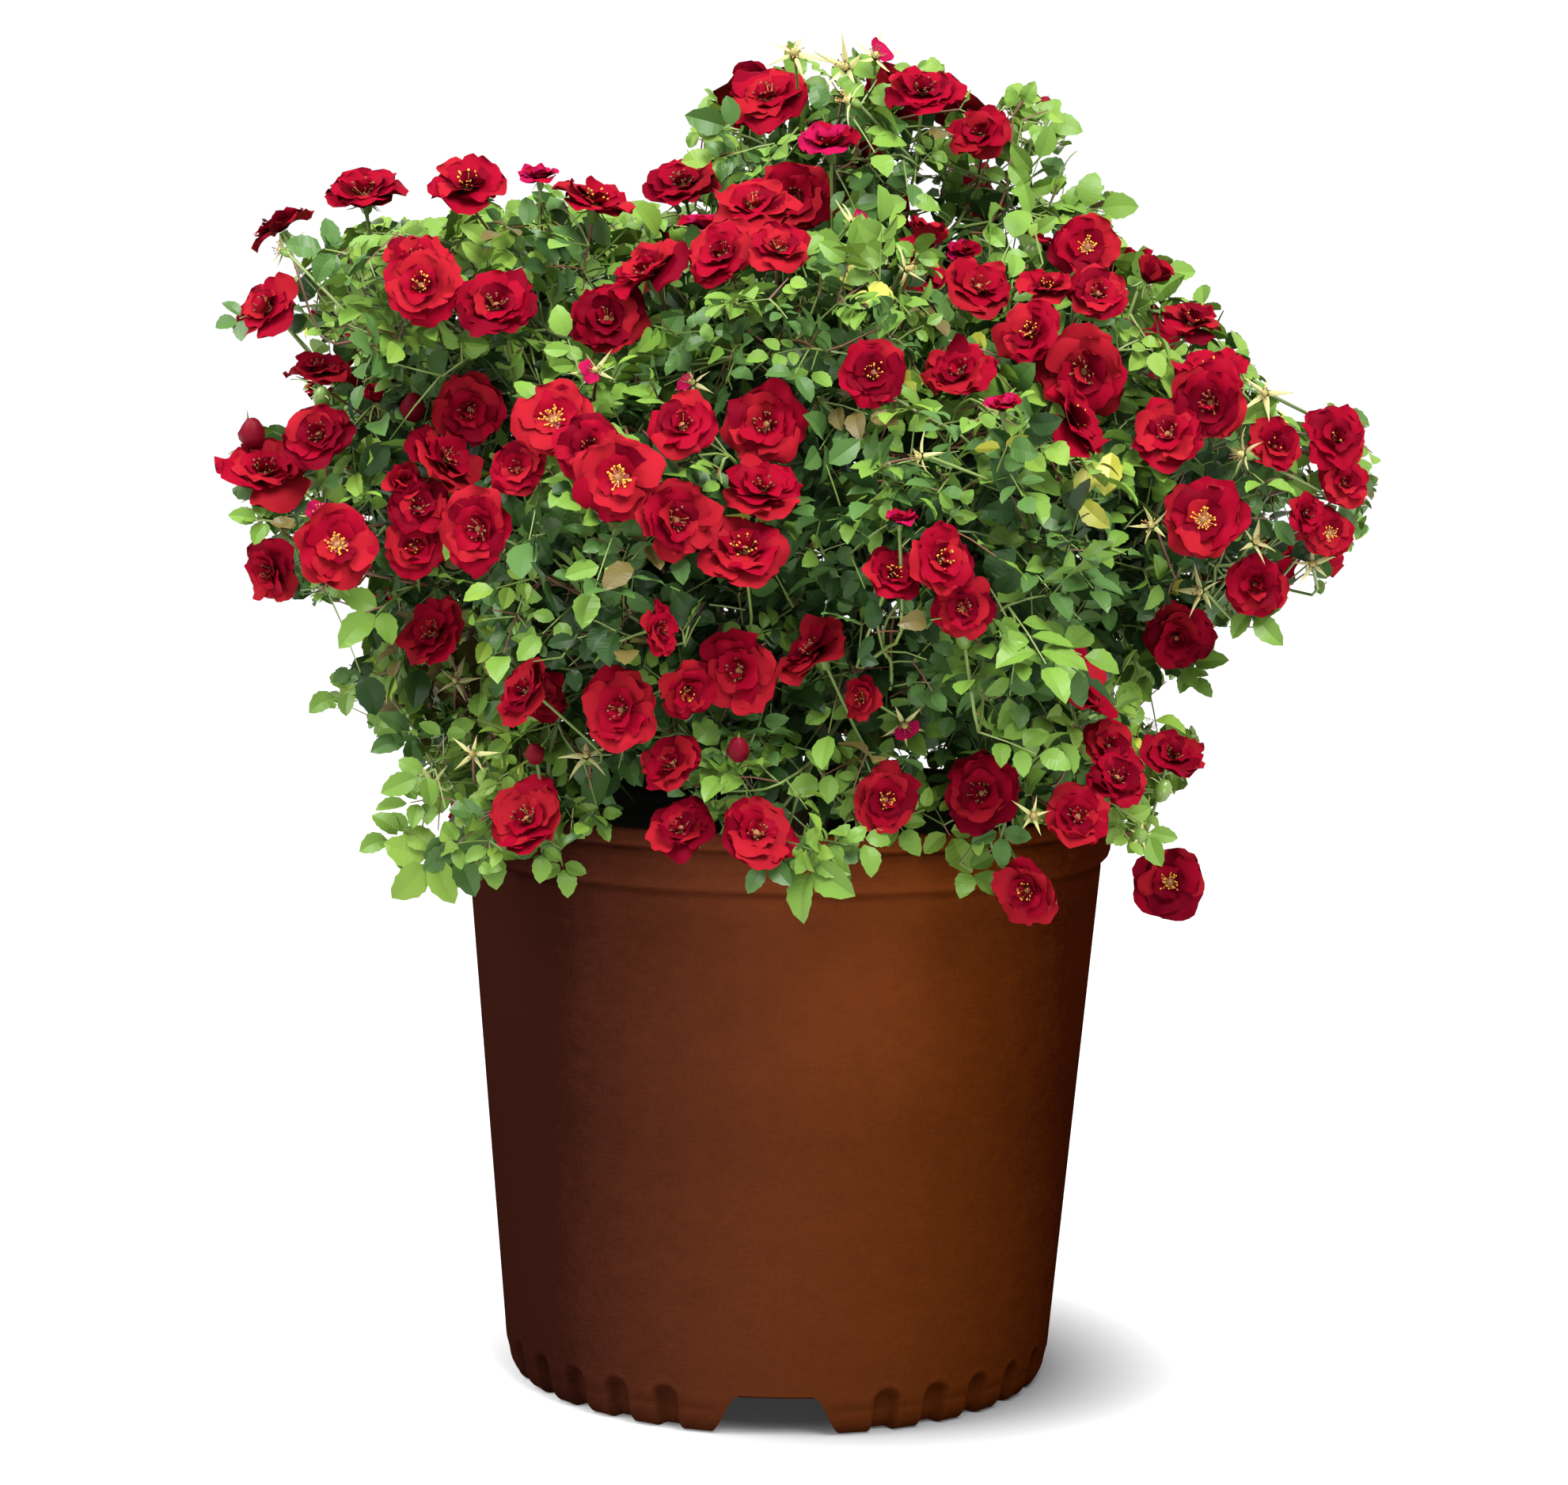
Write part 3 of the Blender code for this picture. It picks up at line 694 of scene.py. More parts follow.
def tube(pile, path, radii, sides, finish, relief=None):
    """A round limb along a path: with the relief given for each step and side, or drawn to a point."""
    along = unit(np.gradient(path, axis=0))
    side = unit(np.cross(along[0], (0.31, 0.87, 0.38)))
    rings = []
    turns = turns_of(sides)
    for step, (point, forward, radius) in enumerate(zip(path, along, radii)):
        side = unit(side - forward * side.dot(forward))
        other = np.cross(forward, side)
        reach = radius * (1 if relief is None else relief[step])
        rings.append(point + np.outer(np.cos(turns) * reach, side) + np.outer(np.sin(turns) * reach, other))
    pile.add(np.concatenate(rings), grid_faces(len(path), sides, closed=True), finish)
    if relief is None:
        close_end(pile, rings[-1], path[-1] + along[-1] * radii[-1], finish)


def smooth_path(points, before, per_step):
    """A curve through the points, per_step parts to each stretch, that sets off from `before`."""
    knots = np.vstack([before, points, 2 * points[-1] - points[-2]])
    curve = []
    for a, b, c, d in zip(knots[:-3], knots[1:-2], knots[2:-1], knots[3:]):
        for t in np.arange(per_step) / per_step:
            bend = (2 * a - 5 * b + 4 * c - d) * t * t + (3 * b - a - 3 * c + d) * t**3
            curve.append(0.5 * (2 * b + (c - a) * t + bend))
    return np.array([*curve, points[-1]])


# ---- pot, soil and canes ----

OUTSIDE, LINING, UNDERSIDE = range(3)
PEAT, CHIP, PERLITE = range(3)
OLD_BARK, YOUNG_BARK, PRICKLE = range(3)


def wall_radius(height):
    """Outer radius of the pot's wall between its heel and its rim band."""
    share = (height - HEEL_HEIGHT) / (BAND_FOOT - HEEL_HEIGHT)
    return HEEL_RADIUS + share * (RIM_RADIUS - FLARE_WIDTH - HEEL_RADIUS)


def outside_profile():
    """(radius, height) up the outside of the pot and over its lip."""
    heel = ((-0.0012, 0.0105), (-0.0007, 0.0118), (-0.0003, 0.0131), (0, 0.0144), (0.0001, 0.0157),
            (0.0002, 0.017))
    crease = ((-0.0003, -0.0022), (-0.0015, -0.0009), (-0.0012, 0.0002))
    flare = ((-0.0024, 0.001), (-0.0009, 0.0026), (-0.0001, FLARE_HEIGHT), (0, 0.007), (-0.0002, 0.011))
    groove = ((-0.0002, -0.0014), (-0.0009, -0.0008), (-0.0021, 0), (-0.0009, 0.0008), (-0.0001, 0.0016),
              (0, 0.003))
    lip = ((-0.0001, -0.0022), (-0.0004, -0.0009), (-0.001, -0.0002), (-0.0017, 0), (-0.0026, -0.0003),
           (-0.0032, -0.0011))
    wall = [0.0184, 0.0198, 0.0213, 0.023, 0.0252, *np.linspace(0.03, BAND_FOOT - 0.004, 13)]
    profile = [(HEEL_RADIUS + out, height) for out, height in heel]
    profile += [(wall_radius(height), height) for height in wall]
    profile += [(wall_radius(BAND_FOOT) + out, BAND_FOOT + up) for out, up in crease]
    for height, offsets in ((BAND_FOOT, flare), (LIP_FOOT, groove), (POT_HEIGHT, lip)):
        profile += [(RIM_RADIUS + out, height + up) for out, up in offsets]
    return profile


def inside_profile():
    """(radius, height) down the inside of the pot, with its moulded ledges, to the soil."""
    inner = RIM_RADIUS - 0.0034
    return [
        (inner, LIP_FOOT + 0.002),
        (inner - 0.0006, LIP_FOOT),
        (inner, LIP_FOOT - 0.002),
        (inner, BAND_FOOT + FLARE_HEIGHT),
        (inner - 0.0012, BAND_FOOT + 0.003),
        (wall_radius(BAND_FOOT) - WALL, BAND_FOOT),
        (wall_radius(BAND_FOOT) - WALL - 0.001, BAND_FOOT - 0.003),
        (wall_radius(BAND_FOOT - 0.02) - WALL, BAND_FOOT - 0.02),
    ]


def from_notch(turns):
    """The angle from the middle of the nearest drain notch."""
    quarter = 2 * np.pi / NOTCHES
    return (turns + quarter / 2) % quarter - quarter / 2


def eased(share):
    """A share held between 0 and 1 that sets off and arrives softly."""
    share = np.clip(share, 0, 1)
    return share * share * (3 - 2 * share)


def notch_edge(turns):
    """The height of the pot's lower edge: raised in a flat-headed notch at each quarter."""
    across = np.abs(np.sin(from_notch(turns))) * FOOT_RADIUS
    return NOTCH_HEIGHT * eased((NOTCH_HALF_FOOT - across) / (NOTCH_HALF_FOOT - NOTCH_HALF_TOP))


def flute_cut(turns, height):
    """How far an arched flute draws the foot in, at this azimuth and height."""
    off_notch = np.abs(from_notch(turns))
    first = 2 * np.pi / NOTCHES / 2 - FLUTE_SPACING * (FLUTES_PER_QUARTER - 1) / 2
    number = np.clip(np.round((off_notch - first) / FLUTE_SPACING), 0, (FLUTES_PER_QUARTER - 1) / 2)
    across = np.abs(off_notch - first - number * FLUTE_SPACING) * FOOT_RADIUS / FLUTE_HALF_WIDTH
    spring = FLUTE_HEIGHT - FLUTE_HALF_WIDTH
    reach = np.hypot(across, np.maximum(height - spring, 0) / FLUTE_HALF_WIDTH)
    lip = np.exp(-((reach - 1.16) / 0.13) ** 2)
    return FLUTE_DEPTH * eased((1 - reach) * FLUTE_HALF_WIDTH / FLUTE_EASE) - FLUTE_LIP * lip


def make_pot():
    """The pot: brown outside, black inside, with its creased rim, fluted foot and drain notches."""
    pile = Pile()
    turns = turns_of(POT_COLUMNS)
    profile = [*FOOT_PROFILE, *outside_profile()]
    outside = spun(profile, turns)
    radii, heights = np.array(profile).T
    edge = notch_edge(turns) + FLUTE_LIFT * np.maximum(flute_cut(turns, 0.0), 0) / FLUTE_DEPTH
    for row in np.nonzero(heights < FOOT_ZONE)[0]:
        height = edge + heights[row] * (1 - edge / FOOT_ZONE)
        outside[row] = round_axis(np.interp(height, heights, radii) - flute_cut(turns, height), turns, height)
    lining = np.concatenate([outside[-1:], spun(inside_profile(), turns)])
    base = spun(BASE_PROFILE, turns)
    radius, height = np.hypot(outside[0, :, 0], outside[0, :, 1]), outside[0, :, 2]
    inner_fold = round_axis(radius - 0.0024, turns, height + 0.0006)
    outer_fold = round_axis(radius - 0.0012, turns, height)
    under = np.array([base[-1], inner_fold, outer_fold, outside[0]])
    for sheet, finish in ((outside, OUTSIDE), (lining, LINING), (under, OUTSIDE)):
        pile.add(sheet, grid_faces(len(sheet), POT_COLUMNS, closed=True), finish)
    pile.add(base, grid_faces(len(base), POT_COLUMNS, closed=True)[:, ::-1], UNDERSIDE)
    chosen = settings("pot")
    finishes = [plastic_finish(chosen), lining_finish(chosen), underside_finish(chosen)]
    place("pot_moulded", pile, finishes, ["pot"])


def make_soil():
    """Peat with bark chips and a little perlite, lumpy on top."""
    draws = np.random.default_rng(SEED + 1)
    chosen = settings("pot")
    reach = wall_radius(SOIL_TOP) - WALL - 0.0006
    pile = Pile()
    columns, rows = 144, 34
    top = spun([(radius, 0) for radius in np.linspace(0.004, reach, rows)], turns_of(columns))
    x, y = top[..., 0], top[..., 1]
    lumps = np.zeros_like(x)
    for frequency, swing in ((70, 0.0016), (160, 0.0012), (420, 0.0008), (900, 0.0005)):
        for _ in range(3):
            heading, phase = draws.uniform(0, 2 * np.pi, 2)
            lumps += swing * np.sin((x * np.cos(heading) + y * np.sin(heading)) * frequency + phase) / 1.6
    top[..., 2] = SOIL_TOP - 0.0016 + lumps - 0.004 * (np.hypot(x, y) / reach) ** 6
    pile.add(top, grid_faces(rows, columns, closed=True))
    pile.add([top[-1], top[-1] - (0, 0, 0.012)], grid_faces(2, columns, closed=True))
    cube = np.array([[x, y, z] for x in (-1, 1) for y in (-1, 1) for z in (-1, 1)])
    faces = [(0, 1, 3, 2), (4, 6, 7, 5), (0, 4, 5, 1), (2, 3, 7, 6), (0, 2, 6, 4), (1, 5, 7, 3)]
    for kind, number, size in ((CHIP, 420, 0.0048), (PERLITE, 120, 0.0018), (PEAT, 500, 0.0026)):
        for _ in range(number):
            radius, turn = reach * math.sqrt(draws.uniform(0.001, 0.98)), draws.uniform(0, 2 * np.pi)
            half = size * draws.uniform(0.5, 1.2) * np.array([1, *draws.uniform((0.35, 0.2), (0.9, 0.6))])
            if radius + half[0] > reach:
                continue
            corners = cube * half
            corners += draws.normal(0, 0.18, corners.shape) * half
            heading, lean = draws.uniform(0, 2 * np.pi), draws.uniform(-0.5, 0.5)
            turned = Matrix.Rotation(heading, 3, "Z") @ Matrix.Rotation(lean, 3, "X")
            middle = round_axis(radius, turn, SOIL_TOP + half[2] * 0.2)
            pile.add(corners @ np.array(turned).T + middle, faces, kind)
    place("soil_with_chips", pile, [
        soil_finish("potting_peat", chosen.soil, scaled(chosen.soil, 2.6)),
        soil_finish("bark_chips", (0.06, 0.03, 0.015), (0.13, 0.074, 0.038)),
        soil_finish("perlite", (0.42, 0.4, 0.36), (0.72, 0.7, 0.66)),
    ], ["soil"], smooth=False)


def cane_names():
    return sorted(name for name in NODES if name.startswith("cane_"))


@functools.lru_cache(maxsize=None)
def cane_lines():
    """The middle line and the radii of each cane, read from the rings of its solid."""
    lines = {}
    for name in cane_names():
        points = np.array([vertex.co for vertex in NODES[name].data.vertices])
        unique = np.unique(np.round(points, 6), axis=0)
        lines[name] = rings_of(unique[np.argsort(unique[:, 2])])
    return lines


def rings_of(points):
    """Middles and radii of the rings of a swept limb, walked from its foot up."""
    middles, radii = [], []
    expected = points[:CANE_SIDES].mean(axis=0)
    while len(points) >= CANE_SIDES:
        order = np.argsort(np.linalg.norm(points - expected, axis=1))
        ring, points = points[order[:CANE_SIDES]], points[np.sort(order[CANE_SIDES:])]
        middle = ring.mean(axis=0)
        middles.append(middle)
        radii.append(float(np.linalg.norm(ring - middle, axis=1).mean()))
        expected = middle if len(middles) < 2 else 2 * middle - middles[-2]
    return np.array(middles), np.array(radii)


def add_prickles(pile, path, radii, number, steps, sizes, finish, draws):
    """Hooked prickles on a limb, between two of its steps: broad along it, with the point bent down."""
    for _ in range(number):
        step = int(draws.integers(*steps))
        along = unit(path[step + 1] - path[step])
        out = unit(np.cross(along, draws.normal(0, 1, 3)))
        side = np.cross(along, out)
        foot = path[step] + out * radii[step] * 0.9
        size = draws.uniform(*sizes)
        corners = [foot + along * size * 0.45, foot + side * size * 0.16, foot - along * size * 0.45,
                   foot - side * size * 0.16, foot + out * size - along * size * 0.28]
        pile.add(corners, [(0, 1, 4), (1, 2, 4), (2, 3, 4), (3, 0, 4)], finish)


def make_canes():
    """The woody foot of the bush and the canes that rise from it, with bark, swollen joints and prickles."""
    draws = np.random.default_rng(SEED + 2)
    chosen = settings("pot")
    pile = Pile()
    sides = 14
    for name, (middles, radii) in cane_lines().items():
        foot = middles[0] * (0.62, 0.62, 0) + (0, 0, SOIL_TOP - 0.003)
        between = middles[0] * (0.9, 0.9, 0) + (0, 0, (SOIL_TOP + STEM_TOP) / 2)
        knots = np.vstack([foot, between, middles])
        path = smooth_path(knots, 2 * knots[0] - knots[1], 7)
        swell = np.interp(np.linspace(0, 1, len(path)), np.linspace(0, 1, len(knots)),
                          [radii[0] * 2.1, radii[0] * 1.5, *radii])
        joints = np.cumsum(draws.uniform(9, 14, 12)).astype(int)
        near = np.abs(np.arange(len(path))[:, None] - joints).min(axis=1)
        swell = swell * (1 + 0.16 * np.exp(-near.astype(float) ** 2 / 1.4))
        wander = draws.normal(0, 1, (len(path), sides)) * 0.045
        ridge = 1 + 0.07 * np.sin(turns_of(sides) * 5 + draws.uniform(0, 6))
        bark = YOUNG_BARK if "shoulder" in name or "leader" in name else OLD_BARK
        tube(pile, path, swell, sides, bark, ridge + wander)
        add_prickles(pile, path, swell, 9, (10, len(path) - 3), (0.0028, 0.0046), PRICKLE, draws)
    make_stump(pile, draws)
    place("canes", pile, [
        bark_finish("old_cane_bark", chosen.bark, scaled(chosen.bark, 2.1), 0.16),
        bark_finish("young_cane_bark", chosen.young_bark, scaled(chosen.young_bark, 1.8), 0.12),
        plain("prickle", (0.24, 0.07, 0.035), 0.38),
    ], [*cane_names(), "stem_base"])


def make_stump(pile, draws):
    """The knuckled foot that the canes spring from."""
    low, high = (Vector(corner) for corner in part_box("stem_base"))
    columns, rows = 64, 16
    turns = turns_of(columns)
    phases = draws.uniform(0, 2 * np.pi, 6)
    rings = []
    for share in np.linspace(0, 1, rows):
        radius = (high.x - low.x) / 2 * (1 - 0.3 * share) * math.sqrt(max(0.02, 1 - share**5))
        lumps = 1 + 0.06 * np.sin(5 * turns + phases[0] + 2 * share) + 0.05 * np.sin(9 * turns + phases[1])
        lumps += 0.03 * np.sin(17 * turns + phases[2] + 9 * share)
        rings.append(round_axis(radius * lumps, turns, low.z - 0.003 + (high.z - low.z + 0.002) * share))
    pile.add(rings, grid_faces(rows, columns, closed=True))
    close_end(pile, rings[-1], rings[-1].mean(axis=0), OLD_BARK)


# ---- the crown's shape ----


class Crown:
    """The masses of leaf: where their open skin lies, and how far under it a place is."""

    def __init__(self):
        self.names = sorted(name for name in NODES if name.startswith(MASS_RINGS))
        points, faces, owners = [], [], []
        for number, name in enumerate(self.names):
            mesh = NODES[name].data
            mesh.calc_loop_triangles()
            start = len(points)
            points += [vertex.co.copy() for vertex in mesh.vertices]
            for triangle in mesh.loop_triangles:
                faces.append(tuple(start + corner for corner in triangle.vertices))
                owners.append(number)
        self.skin = BVHTree.FromPolygons(points, faces)
        self.points = np.array(points)
        corners = self.points[np.array(faces)]
        cross = np.cross(corners[:, 1] - corners[:, 0], corners[:, 2] - corners[:, 0])
        areas = np.linalg.norm(cross, axis=1) / 2
        normals = unit(cross)
        centres = corners.mean(axis=1)
        pot = NODES["pot"].data
        walls = [tuple(polygon.vertices) for polygon in pot.polygons]
        self.pot = BVHTree.FromPolygons([vertex.co.copy() for vertex in pot.vertices], walls)
        is_open = np.array([self.sees_out(Vector(c), Vector(n)) for c, n in zip(centres, normals)])
        self.corners = corners[is_open]
        self.areas = areas[is_open]
        self.normals = normals[is_open]
        self.owners = np.array(owners)[is_open]
        self.open_skin = BVHTree.FromPolygons(points, [faces[index] for index in np.nonzero(is_open)[0]])

    def sees_out(self, place_at, normal):
        """True if two of three lines out from a face of a mass leave the crown."""
        level = Vector((place_at.x, place_at.y, 0)).normalized()
        start = place_at + normal * 0.001
        clear = 0
        for heading in (normal, normal + UP * 0.7, normal + level * 0.8):
            heading = heading.normalized()
            blocked = self.skin.ray_cast(start, heading, 0.3)[0] or self.pot.ray_cast(start, heading, 0.3)[0]
            clear += blocked is None
        return clear >= 2

    def holds(self, place_at):
        """True inside any of the masses."""
        nearest, normal, _, _ = self.skin.find_nearest(place_at)
        return (Vector(place_at) - nearest).dot(normal) < 0

    def under(self, place_at):
        """How far a place is from the open skin, with the skin's normal and the mass there."""
        _, normal, index, far = self.open_skin.find_nearest(place_at)
        return far, normal, int(self.owners[index])

    def scatter(self, number, draws):
        """Places on the open skin, evenly by area, with their normals."""
        chosen = draws.choice(len(self.areas), number, p=self.areas / self.areas.sum())
        first, second = draws.uniform(0, 1, number), draws.uniform(0, 1, number)
        over = first + second > 1
        first, second = np.where(over, 1 - first, first), np.where(over, 1 - second, second)
        a, b, c = (self.corners[chosen, index] for index in range(3))
        return a + (b - a) * first[:, None] + (c - a) * second[:, None], self.normals[chosen]

    def sight(self, across, up):
        """The place and normal where the line of sight through (across, up) meets the crown."""
        through = on_plane(across, up)
        line = (through - EYE).normalized()
        hit, normal, _, far = self.skin.ray_cast(EYE, line, 3.0)
        if hit is None:
            steps = [EYE + line * far for far in np.linspace(1.2, 1.8, 90)]
            hit = min(steps, key=lambda step: self.skin.find_nearest(step)[3])
            nearest, normal, _, gap = self.skin.find_nearest(hit)
            if gap > FLOWER_REACH:
                hit = nearest + (hit - nearest) * (FLOWER_REACH / gap)
            far = (hit - EYE).length
        return hit, normal, far / (through - EYE).length


def spaced(places, spacing, taken=()):
    """The numbers of the places that keep this spacing from each other and from those taken."""
    kept, chosen = list(taken), []
    for index, place_at in enumerate(places):
        if not kept or np.min(np.linalg.norm(np.array(kept) - place_at, axis=1)) > spacing:
            kept.append(place_at)
            chosen.append(index)
    return chosen


def rolled(across, up, roll):
    """Places across and up on the upright plane, turned about the point that the eye looks at."""
    high = up - LOOK_HEIGHT
    cos, sin = math.cos(roll), math.sin(roll)
    return across * cos - high * sin, across * sin + high * cos + LOOK_HEIGHT


def on_plane(across, up):
    """The place on the upright plane that the tilted eye sees at these millimetres across and up."""
    x, z = rolled(across, up, EYE_ROLL)
    return Vector((x, 0, z)) * MILLIMETRE


def seen_at(places):
    """Where places appear to the tilted eye, across and up on the upright plane, in millimetres."""
    gap = places - np.array(EYE)
    reach = -EYE.y / gap[..., 1] / MILLIMETRE
    return rolled(gap[..., 0] * reach, gap[..., 2] * reach + EYE.z / MILLIMETRE, -EYE_ROLL)


def in_opening(places):
    """True where the sky shows through the crown."""
    across, up = seen_at(places)
    bare = np.zeros(across.shape, bool)
    for x, z, radius in OPENINGS:
        bare |= np.hypot(across - x, up - z) < radius
    return bare


def against_sky(places):
    """True where a place appears outside the crown's outline, or on the front under its lower edge."""
    across, up = seen_at(places)
    inside = np.zeros(across.shape, bool)
    for (x, z), (next_x, next_z) in zip(OUTLINE, OUTLINE[1:] + OUTLINE[:1]):
        if z != next_z:
            inside ^= ((z > up) != (next_z > up)) & (across < x + (up - z) * (next_x - x) / (next_z - z))
    edge = np.interp(across, *zip(*LOWER_EDGE), left=0, right=0)
    return ~inside | ((places[..., 1] < -0.02) & (up < edge))


def crowds_edge(places, margin):
    """True where a place appears nearer than the margin to the edge of the crown or to an opening."""
    around = [(-margin, 0, 0), (margin, 0, 0), (0, 0, -margin), (0, 0, margin), (0, 0, 0)]
    return against_sky(places[:, None] + np.array(around)).any(axis=1) | in_opening(places)


# ---- where the flowers sit ----


class Flower:
    """One flower, spent flower, bud or hip: where it sits, where it faces, and its half width."""

    def __init__(self, kind, middle, facing, radius, near):
        self.kind = kind
        self.middle = np.array(middle)
        self.facing = np.array(facing)
        self.radius = radius
        self.near = near


def faced(kind, normal, to_eye, draws):
    """Which way a flower looks: partly out of the crown, partly to the light, partly upward."""
    out, light, up, stray = FACING[kind]
    heading = normal * out + to_eye * light + UP * up + Vector(draws.normal(0, stray, 3))
    return heading.normalized()


def front_flowers(crown, draws):
    """The flowers seen from the eye, each pushed clear of those it would cut through."""
    flowers = []
    for kind, rows in FRONT_FLOWERS.items():
        for across, up, width in rows:
            at, normal, nearer = crown.sight(across, up)
            to_eye = (EYE - at).normalized()
            facing = faced(kind, normal, to_eye, draws)
            radius = width / 2 * nearer * MILLIMETRE
            stand = at + to_eye * FLOWER_STAND - facing * radius * FLOWER_RISE.get(kind, 0.0)
            flowers.append(Flower("open" if kind == "tilted" else kind, stand, facing, radius, True))
    for _ in range(3):
        for one, other in itertools.combinations(flowers, 2):
            missing = 0.62 * (one.radius + other.radius) - np.linalg.norm(one.middle - other.middle)
            if missing > 0:
                low, high = (one, other) if one.middle[2] < other.middle[2] else (other, one)
                low.middle += unit(np.array(EYE) - low.middle) * missing * 0.35
                high.middle -= unit(np.array(EYE) - high.middle) * missing * 0.35
    return flowers


def far_flowers(crown, flowers, draws):
    """The flowers of the sides, the back and the top, scattered over the rest of the skin."""
    places, normals = crown.scatter(5200, draws)
    usual = settings("flowers").width
    outer = crowds_edge(places + normals * FLOWER_STAND, usual * 0.55)
    unseen = []
    for index in np.nonzero(~outer & (normals[:, 2] > -0.55))[0]:
        line = Vector(places[index]) - EYE
        hit = crown.skin.ray_cast(EYE, line.normalized(), line.length - 0.004)[0]
        if hit is not None or Vector(normals[index]).dot(line.normalized()) > 0.05:
            unseen.append(index)
    chosen = spaced(places[unseen], FAR_SPACING, [flower.middle for flower in flowers])
    kinds, shares = zip(*FAR_KINDS.items())
    found = []
    for number in chosen[:FAR_FLOWERS]:
        at, normal = Vector(places[unseen[number]]), Vector(normals[unseen[number]])
        kind = str(draws.choice(kinds, p=shares))
        out_level = Vector((at.x, at.y, 0)).normalized()
        facing = faced(kind, normal, out_level, draws)
        width = FLOWER_WIDTHS[kind] * usual * draws.uniform(0.78, 1.12)
        found.append(Flower(kind, at + normal * FLOWER_STAND, facing, width / 2, False))
    return found


def loose_leaves(crown):
    """Leaves that stand clear of the crown: foot and tip, the end leaflet's length, how many leaflets."""
    found = []
    for across, up, tip_across, tip_up, leaflet, number in LOOSE_LEAVES:
        deep = crown.sight(across, up)[0].y
        if up * MILLIMETRE < POT_HEIGHT + 0.012:
            aside = min(abs(across), abs(tip_across)) * MILLIMETRE
            deep = min(deep, -math.sqrt(max(RIM_RADIUS**2 - aside**2, 0)) - 0.012)
        ends = [EYE + (on_plane(x, z) - EYE) * (1 - reach / EYE.y)
                for x, z, reach in ((across, up, deep), (tip_across, tip_up, deep - 0.006))]
        found.append((*(np.array(end) for end in ends), leaflet * MILLIMETRE, number))
    return found


# ---- how the shoots branch ----

LIMB, TIP, FOOT, TOP = range(4)
BOUGH, GREEN_SHOOT, RED_SHOOT, TWIG_PRICKLE = range(4)


